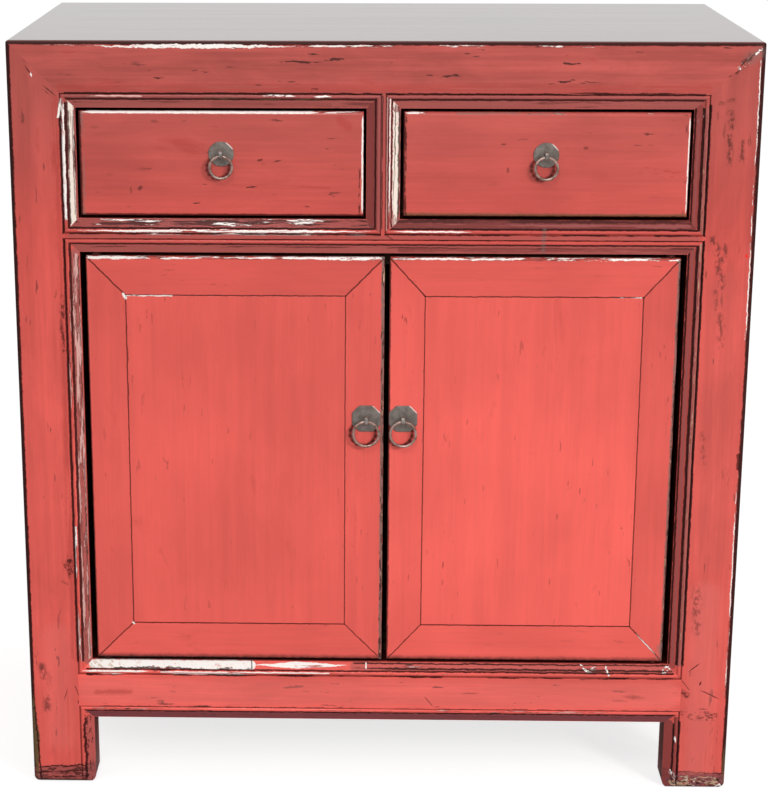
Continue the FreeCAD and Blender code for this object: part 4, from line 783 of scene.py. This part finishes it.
MIDDLE_RAIL = [
    # Painted shade: the dark upper edge beside the gap, the black lines in the grooves and the lower band,
    # which faces down. Painted highlights: the pale patches on the upper band and the pale lines on the
    # bead.
    level(UPPER_BAND, -BAND, -12, 9.5, (MAROON, 0.7), wobble=0.8),
    level(UPPER_BAND, -12, BAND, 9.5, ([part * 0.62 for part in MAROON], 0.88), wobble=0.8),
    level(680, -355, 355, 11, (DEEP, 0.38), kept=0.8, blur=2, wobble=2, run=6),
    level(695, -OPENING, -20, 7, (DARK, 0.85), kept=0.52, wobble=2, run=14),
    level(695.5, -OPENING, -20, 6.8, pale=0.4, wobble=2.6, run=20),
    level(693, 15, 345, 4, (MAUVE, 0.8), kept=0.5, wobble=1.5, run=10),
    level(697.8, 12, 348, 3.6, (DARK, 0.75), kept=0.7, wobble=1.8, run=12),
    level(697, 20, 345, 1, pale=0.2, ground=TAN, wobble=1.5),
    level(689.2, -355, 355, 2.2, BLACK, kept=0.94),
    level(686.2, -346, -14, 3, pale=0.72, taper=80, wobble=1.8, run=12),
    line(-270, 682.6, -20, 682.8, 1.8, pale=0.5, wobble=1.5, run=20),
    level(686.5, 12, 100, 1.5, pale=0.75, taper=15, run=12),
    level(686, 100, 345, 1.8, pale=0.3, wobble=1.5),
    level(682.8, -355, 355, 1.6, LINE, kept=0.62, wobble=1.6),
    level(679.8, -355, 355, 5, (BROWN, 0.5), kept=0.8, wobble=1.6, run=8),
    level(676.8, -355, 355, 1.2, LINE, kept=0.6, wobble=1.4),
    level(671, -355, 355, 2.4, LINE, kept=0.92),
    level(LOWER_BAND, -BAND, BAND, 9.5, (BROWN, 0.75), wobble=0.8),
    level(LOWER_BAND, 20, BAND, 6, (MAROON, 0.7), kept=0.6, wobble=1.6, run=10),
    level(667.6, -BAND, BAND, 2, (DARK, 0.6), kept=0.42, wobble=1.8, run=12),
    level(674, -OPENING, -200, 1.4, pale=0.2, ground=ROSE),
    upright(182, 688, 664, 5, (GREY, 0.45), blur=2, wobble=3),
    line(2, 683, 14, 676, 1.2, (GRIME_AND_SHADE, 0.8), taper=4),
]
finish("middle_rail_front", "x", MIDDLE_RAIL, seed=9, uneven=1.2)

DIVIDER = [
    # Painted shade: the left band, which faces away from the light, and the black lines in the grooves.
    # Painted highlights: the cream right band and the pale lines on the beads.
    upright(-14, 690, 835, 9.5, (MAROON, 0.9), wobble=0.8),
    upright(-8.9, 690, 838, 2, BLACK, wobble=0.9),
    upright(-4.2, 690, 840, 7, (MAUVE, 0.75), wobble=1),
    upright(-1.2, 690, 840, 1, LINE, kept=0.7, wobble=1),
    upright(3.9, 688, 838, 1.4, pale=0.7, ground=ROSE, wobble=0.9, run=8),
    upright(5.6, 690, 838, 1.2, LINE, kept=0.9, wobble=0.8),
    upright(7.2, 690, 836, 1.3, pale=0.7, wobble=0.9, run=8),
    upright(9.4, 692, 836, 1.8, BLACK, wobble=0.8),
    upright(14.4, 696, 830, 9, (BROWN, 0.85), wobble=0.8),
    upright(14.2, 692, 836, 7.4, pale=0.7, ground=CREAM, wobble=1.6, run=10),
    line(12.6, 696, 13, 830, 1.2, (DARK, 0.8), kept=0.55, wobble=1.8, run=16),
    line(17.4, 694, 17.2, 834, 2.2, (DARK, 0.88), kept=0.72, wobble=2, run=14),
    upright(14.4, 692, 702, 9, (MAUVE, 0.7), kept=0.6, wobble=3, run=60),
    upright(14.4, 826, 838, 9, (MAROON, 0.7), kept=0.6, wobble=3, run=60),
]
finish("drawer_divider", "z", DIVIDER, seed=10, shade=0.9)

BOTTOM_RAIL = [
    level(122, -OPENING, OPENING, 34, (BLOOM, 0.3), kept=0.75, blur=7, run=5),
    # Painted highlights: the white sill band, which faces up, and the pale lines on the bead below it.
    # Painted shade: the black lines in the grooves and the purple underside band, which faces down.
    level(SILL_BAND, -30, BAND, 9.5, (BROWN, 0.55), wobble=1, blur=0.8),
    level(152.4, -30, BAND, 2.4, LINE, kept=0.62, wobble=2, run=12),
    level(158.4, -30, BAND, 1.8, LINE, kept=0.7, wobble=1.6, run=12),
    level(155.2, -344, -153, 9.6, pale=1, wobble=0.8, run=6),
    line(-152, 155.4, -38, 155.8, 8.4, pale=0.78, taper=60, wobble=1.6, run=14),
    level(156, -38, 60, 5, pale=0.25, wobble=2, run=16),
    level(SILL_BAND, -346, -322, 8, (TAN, 0.6), kept=0.45, wobble=4, run=110),
    level(SILL_BAND, -346, -324, 9, (DARK, 0.8), kept=0.24, wobble=5, run=120),
    upright(-152.8, 150.5, 160, 1.3, (DARK, 0.8)),
    level(151, -318, -153, 1.6, LINE, kept=0.62, wobble=3.5, run=40),
    line(-270, 150.5, -250, 149, 6, (MAROON, 0.85), kept=0.55, wobble=5, run=110),
    upright(-15.5, 153, 158.5, 1.6, pale=1),
    line(242, 158, 250, 151, 2.4, pale=0.62, wobble=4, run=90),
    line(251, 151, 259, 156, 2.2, pale=0.6, wobble=4, run=90),
    line(272, 156, 275, 148, 2, pale=0.7, wobble=3, run=90),
    line(340, 151, 348, 159, 4.5, pale=0.5, **FLECKS),
    line(200, 153, 300, 152, 4, (GRIME_AND_SHADE, 0.8), kept=0.4, wobble=3, run=30),
    level(149.6, -352, 352, 1.9, LINE, kept=0.95, wobble=1.4),
    level(147.4, -358, -276, 2, pale=1, taper=12, wobble=0.8),
    level(147, -262, -60, 1.3, pale=0.6, wobble=1, run=10),
    line(-262, 144.4, -150, 144.6, 2.2, pale=0.95, taper=20, wobble=0.9),
    level(144, -336, -304, 1.4, pale=0.7, taper=8, wobble=1, run=40),
    level(146.5, -60, 345, 1.3, pale=0.3, ground=ROSE, wobble=1.8),
    level(143.2, -352, 352, 1.4, LINE, kept=0.5, wobble=1.6),
    level(UNDERSIDE, -352, 352, 9.5, (PURPLE, 0.9), wobble=0.8),
    level(91, -340, 340, 1.3, pale=0.3, ground=MAUVE, wobble=2),
    level(95.6, -355, 355, 2.2, BLACK, kept=0.92, wobble=2.2),
    level(99, -345, 345, 2.2, pale=0.3, ground=ROSE, bright=0.7, wobble=1.8, run=14),
    level(101.8, -352, 352, 1.3, (GRIME_AND_SHADE, 0.7), kept=0.55, wobble=2.2, run=12),
    line(294, 120.6, 318, 119.4, 6, (GRIME_AND_SHADE, 0.5), blur=3, taper=16, wobble=3),
    line(54.5, 118.6, 65.6, 104.4, 1.3, (GRIME_AND_SHADE, 0.6), taper=4),
    line(65.6, 104.4, 75, 104.5, 1.3, (GRIME_AND_SHADE, 0.6), taper=4),
    line(97.7, 123, 121.7, 123.2, 1.3, (GRIME_AND_SHADE, 0.55), taper=8),
    line(-340, 120, -300, 121, 5, (DEEP, 0.5), blur=2.5, wobble=3),
]
finish("bottom_rail_front", "x", BOTTOM_RAIL, seed=11, shade=1.08, uneven=2.4)
finish("bottom_rail_back", "x", seed=12)
finish("middle_rail_back", "x", seed=13)


def outer_face(name):
    """The corners of a piece of the side in millimetres, and where its outer face lies."""
    low, high = (corner * 1000 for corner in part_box(name))
    return low, high, low.x if low.x < 0 else high.x


def side_edges(name):
    """Dark joints round a panel or rail of the side, and rubbed patches beside them."""
    low, high, x = outer_face(name)
    corners = ((low.y, low.z), (high.y, low.z), (high.y, high.z), (low.y, high.z))
    out = []
    for (y0, z0), (y1, z1) in zip(corners, corners[1:] + corners[:1]):
        out += [upright(x, z0, z1, 7, (DEEP, 0.5), (y0, y1), kept=0.7, blur=3, wobble=3, run=8),
                upright(x, z0, z1, 3, LINE, (y0, y1), kept=0.82, blur=0.6, wobble=1.6, run=14)]
    return out


def rubbed(name, z, width=4, pale=0.42):
    """A pale rubbed line along a rail or panel of the side."""
    low, high, x = outer_face(name)
    depth = (low.y + 12, high.y - 12)
    return [level(z, x, x, width, None, depth, pale=pale, taper=50, wobble=2.6, run=18)]


for i, name in enumerate(("bottom_rail_left", "bottom_rail_right")):
    finish(name, "y", side_edges(name) + rubbed(name, 89), seed=14 + i, shade=1.04, uneven=2)
for i, name in enumerate(("side_panel_left", "side_panel_right")):
    finish(name, "z", side_edges(name) + rubbed(name, 164, 3, 0.34), seed=16 + i, uneven=1.8)


def painted_ring_shadow(name, strength):
    """A painted shadow that the ring casts to its lower left on the lacquer behind it."""
    low, high = (corner * 1000 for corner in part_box(name))
    radius = (high.z - low.z) / 2 - 1.5
    x, z = (low.x + high.x) / 2 - 3.6, (low.z + high.z) / 2 - 1.6
    turns = [math.radians(140 + 26 * step) for step in range(11)]
    ends = [(x + radius * math.cos(turn), z + radius * math.sin(turn)) for turn in turns]
    return [line(*first, *second, 3.8, (DARK, strength), blur=1.4)
            for first, second in zip(ends, ends[1:])]


# Painted shade: the ring's shadow and the dark lower and left edges. Painted highlights: the pale top and
# right edges.
LEFT_DRAWER = painted_ring_shadow("drawer_left_ring", 0.66) + [
    level(704, -341.8, -22.2, 3.4, (DARK, 0.8), kept=0.85, blur=0.8, wobble=1.4),
    upright(-341.8, 703, 821, 6, (DARK, 0.88), blur=1.2, wobble=1.6),
    upright(-337.5, 703, 821, 3, (GREY, 0.5), kept=0.6, blur=0.8, wobble=2),
    level(820.4, -338, -72, 2.4, pale=1, taper=10, wobble=0.9, run=8),
    level(820.6, -72, -24, 1.6, pale=0.5),
    upright(-23.4, 706, 818, 1.7, pale=0.86, taper=6, wobble=1, run=10),
    upright(-26.5, 706, 780, 2.2, (DARK, 0.8), kept=0.42, wobble=2.4, run=50),
    line(-274.5, 734, -273, 735.5, 4, (GRIME_AND_SHADE, 0.7), blur=0.8),
    line(-284, 730, -284.5, 735, 2, (GRIME_AND_SHADE, 0.5), blur=0.8),
    line(-140, 766.8, -136.5, 767.4, 2.2, (DARK, 0.7), blur=0.6),
    line(-124, 765, -113.5, 767, 2, (GRIME_AND_SHADE, 0.85), taper=5, blur=0.6),
    line(-48, 812, -40, 805, 9, (DEEP, 0.45), blur=3, wobble=3),
    line(-170, 738, -60, 736, 2.6, (DEEP, 0.4), kept=0.55, blur=1, wobble=2, run=14),
]
# Painted shade: the ring's shadow and the dark lower and left edges. Painted highlights: the pale top and
# right edges.
RIGHT_DRAWER = painted_ring_shadow("drawer_right_ring", 0.66) + [
    level(705, 22.2, 341.8, 5, (OLIVE, 0.72), kept=0.78, blur=1, wobble=1.8),
    level(703.6, 22.2, 341.8, 2.2, LINE, kept=0.9, wobble=1.4),
    upright(22.2, 703, 821, 3.2, LINE, blur=0.8, wobble=1.4),
    upright(24.8, 704, 819, 2.4, (DARK, 0.8), kept=0.5, wobble=2.4, run=50),
    upright(24.5, 704, 819, 2, pale=0.3, ground=TAN, wobble=2.4, run=50),
    level(820.4, 24, 42, 2, pale=0.95, taper=4, wobble=0.9),
    level(820.6, 42, 338, 1.6, pale=0.26, wobble=1.3),
    level(820, 80, 200, 2, (GREY, 0.6), kept=0.5, wobble=1.5),
    upright(340.4, 708, 817, 1.5, pale=0.68, taper=6, run=12),
    upright(337.2, 708, 817, 1.8, (GRIME_AND_SHADE, 0.75), kept=0.45, wobble=2.2, run=50),
    line(130, 785.6, 138, 786.4, 2.2, (GRIME_AND_SHADE, 0.75), taper=4, blur=0.6),
    upright(139.7, 758.4, 755, 2.6, (GRIME_AND_SHADE, 0.6), blur=0.8),
    level(782, 225, 227, 3.4, (GRIME_AND_SHADE, 0.6), blur=0.9),
    line(290, 757, 330, 752, 8, (DEEP, 0.5), kept=0.4, blur=2, wobble=4, run=60),
]
finish("drawer_left_front", "x", LEFT_DRAWER, seed=20, shade=0.97, uneven=1.6)
finish("drawer_right_front", "x", RIGHT_DRAWER, seed=21, shade=1.03, uneven=1.6)


# The doors' lower and upper edges, the face of their rails, the middle of their pivots' depth
DOOR_LOW, DOOR_HIGH, DOOR_RAIL, PIVOT_DEPTH = 164.5, 656, 45, -201.5


def door_strokes(outer, meeting, outer_face, meeting_face):
    """Joint lines and worn edges of one door, with painted shade along its lower and left edges and on its
    pivots, and a painted highlight as well as wear along its top edge. outer is its edge at the hinges.
    """
    low, high, rail = DOOR_LOW, DOOR_HIGH, DOOR_RAIL
    turn = 1 if meeting > outer else -1
    inner = outer + turn * outer_face
    middle = meeting - turn * meeting_face
    left, right = min(outer, meeting), max(outer, meeting)
    along = {"tint": (DARK, 0.62), "blur": 0.55, "wobble": 1, "kept": 0.95}
    across = {"tint": (DARK, 0.8), "blur": 0.4, "wobble": 1.2, "kept": 0.93}
    return [
        upright(inner, low + rail, high - rail, 1.5, **along),
        upright(middle, low + rail, high - rail, 1.3, **along),
        level(low + rail, inner, middle, 1.4, **across),
        level(high - rail, inner, middle, 1.4, **across),
        line(outer, low, inner, low + rail, 1.6, **across),
        line(outer, high, inner, high - rail, 1.7, **across),
        line(meeting, low, middle, low + rail, 1.4, **across),
        line(meeting, high, middle, high - rail, 1.7, **across),
        # Painted shade along the lower and left edges; dirt and a painted highlight along the top edge
        level(low + 1.5, left, right, 6, (GRIME_AND_SHADE, 0.75), blur=2.6, wobble=2.4),
        level(low + 0.5, left, right, 2.6, LINE, kept=0.85, wobble=2.4),
        upright(left, low, high, 2.6, (GRIME_AND_SHADE, 0.75), blur=1, wobble=1.5),
        level(high - 1.2, left, right, 3.4, (GRIME_AND_SHADE, 0.5), kept=0.55, wobble=2.4),
        level(high - 1.1, left + 2, right - 2, 2.4, pale=0.52, wobble=2.6, run=30),
        # The pivots are painted black as shade in the gaps above and below the door
        upright(outer + turn * 11, low - 6, low - 0.5, 13, BLACK, PIVOT_DEPTH),
        upright(outer + turn * 11, high + 0.5, high + 6, 13, BLACK, PIVOT_DEPTH),
    ]


# The ring's painted shadow, and painted highlights along the top edge
LEFT_DOOR = door_strokes(-338, 2.7, 44.5, 44.5) + painted_ring_shadow("door_left_ring", 0.8) + [
    upright(0.9, 166, 655, 3.6, (GREY, 0.85), kept=0.85, wobble=1.6),
    upright(0.9, 168, 654, 3.2, (DARK, 0.8), kept=0.4, wobble=2.5, run=60),
    upright(1.4, 168, 654, 2.4, pale=0.34, ground=TAN, wobble=2.2, run=50),
    level(610.4, -294, -240, 1.4, pale=0.6),
    line(-296, 612, -293, 607, 2.4, pale=0.7, wobble=2, run=90),
    line(-294.6, 209.8, -293, 208.2, 2, pale=1),
    level(654.6, -60, -4, 3.6, pale=0.62, wobble=3, run=50),
    level(654.6, -334, -270, 3.2, pale=0.6, wobble=2.4, run=30),
    upright(-292.6, 480, 600, 1, (DARK, 0.5), kept=0.5, wobble=1.4),
]
# The ring's painted shadow, and painted shade beside the gap along the left edge
RIGHT_DOOR = door_strokes(338, 8.5, 40.5, 40.5) + painted_ring_shadow("door_right_ring", 0.8) + [
    upright(336.6, 168, 654, 3.4, (GREY, 0.8), kept=0.75, wobble=2, run=30),
    upright(336.4, 168, 654, 2.6, pale=0.36, ground=TAN, wobble=2.4, run=40),
    upright(337.4, 168, 654, 1.4, LINE, kept=0.6, wobble=2),
    line(306, 200, 329, 174.5, 1, pale=0.66, bright=0.8, taper=8, wobble=1.4, run=40),
    line(331, 172, 335, 186, 6, (GREY, 0.6), blur=2, kept=0.6, wobble=4, run=90),
    upright(9.6, 168, 650, 1.4, (GRIME_AND_SHADE, 0.7), kept=0.6, wobble=1.5),
    level(611, 262, 295, 1.3, pale=0.5),
]
# Each door's strokes, and the shades of its hinge stile, meeting stile and panel
DOORS = {
    "left": (LEFT_DOOR, (0.98, 1.03, 1.04)),
    "right": (RIGHT_DOOR, (0.98, 1.11, 1.15)),
}
for side, (strokes, shades) in DOORS.items():
    for i, part in enumerate(("hinge_stile", "meeting_stile", "panel")):
        seed = 30 + i + 5 * shades[i]
        finish(f"door_{side}_{part}", "z", strokes, seed=seed, shade=shades[i], uneven=0.9)
    for i, part in enumerate(("top_rail", "bottom_rail")):
        seed = 40 + i + 5 * shades[1]
        finish(f"door_{side}_{part}", "x", strokes, seed=seed, shade=shades[1], uneven=1)

# Bare wood: the way of its grain, and the nodes
BARE = (
    ("x", ("back_panel_lower", "back_panel_upper", "bottom_board")),
    ("y", ("top_battens",)),
    ("x", ("door_stop", "door_left_batten", "door_right_batten")),
    ("y", ("runner_left", "runner_right", "runner_centre")),
)
number = 0
for along, names in BARE:
    for name in names:
        finish(name, along, make=bare_wood, seed=number)
        number += 1
for side in ("left", "right"):
    for i, part in enumerate(("side_outer", "side_inner", "floor")):
        finish(f"drawer_{side}_{part}", "y", make=bare_wood, seed=11 + i, pale=1.2)
    finish(f"drawer_{side}_back", "x", make=bare_wood, seed=14, pale=1.2)


def plate_rim_highlight(name):
    """A painted highlight along the upper right corner of a plate, and a little on the left."""
    low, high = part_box(name)
    left, right, head = low.x * 1000, high.x * 1000, high.z * 1000
    return [
        line(right - 8.5, head - 0.6, right - 0.7, head - 8.5, 1.3, pale=0.9, ground=(0.9, 0.8, 0.76),
             wobble=0.7),
        line(left + 9, head - 0.7, left + 4, head - 3, 0.9, pale=0.4, ground=(0.7, 0.65, 0.62), wobble=0.7),
    ]


PLATE_TONES = (0.2, 0.165, 0.145), (0.3, 0.26, 0.235)
PIN_TONES = (0.24, 0.2, 0.18), (0.5, 0.45, 0.42)
RING_TONES = (0.34, 0.22, 0.18), (0.7, 0.52, 0.46)
for holder in ("drawer_left", "drawer_right", "door_left", "door_right"):
    plate = f"{holder}_plate"
    finish(plate, *PLATE_TONES, make=metal, rough=0.42, strokes=plate_rim_highlight(plate), shine=0.6)
    finish(f"{holder}_pin", *PIN_TONES, make=metal, rough=0.34, seed=3, near=0.01, shut=0.85)
    finish(f"{holder}_ring", *RING_TONES, make=metal, rough=0.24, seed=5, shine=1, near=0.02, shut=0.92)


# softened edges

def soften(name, width):
    """Join the facets' corners and take the sharpness off the edges."""
    piece = nodes[name]
    weld = piece.modifiers.new("weld", "WELD")
    weld.merge_threshold = 0.00001
    bevel = piece.modifiers.new("soft_edges", "BEVEL")
    bevel.width = width
    bevel.segments = 2
    bevel.limit_method = "ANGLE"
    bevel.angle_limit = math.radians(35)
    bevel.use_clamp_overlap = True
    bevel.harden_normals = True


# How the names of such pieces begin and end, and how wide their softened edges are
SOFTENED = (
    ("door", ("_stile", "_top_rail", "_bottom_rail", "_panel"), 0.0005),
    (("side_panel", "back_panel", "bottom_rail_left", "bottom_rail_right", "bottom_rail_back",
      "middle_rail_back"), "", 0.0006),
    ("drawer", ("_side_outer", "_side_inner", "_back", "_floor"), 0.0008),
    ("", "_pin", 0.0004),
)
for name in nodes:
    for beginning, ending, width in SOFTENED:
        if name.startswith(beginning) and name.endswith(ending):
            soften(name, width)
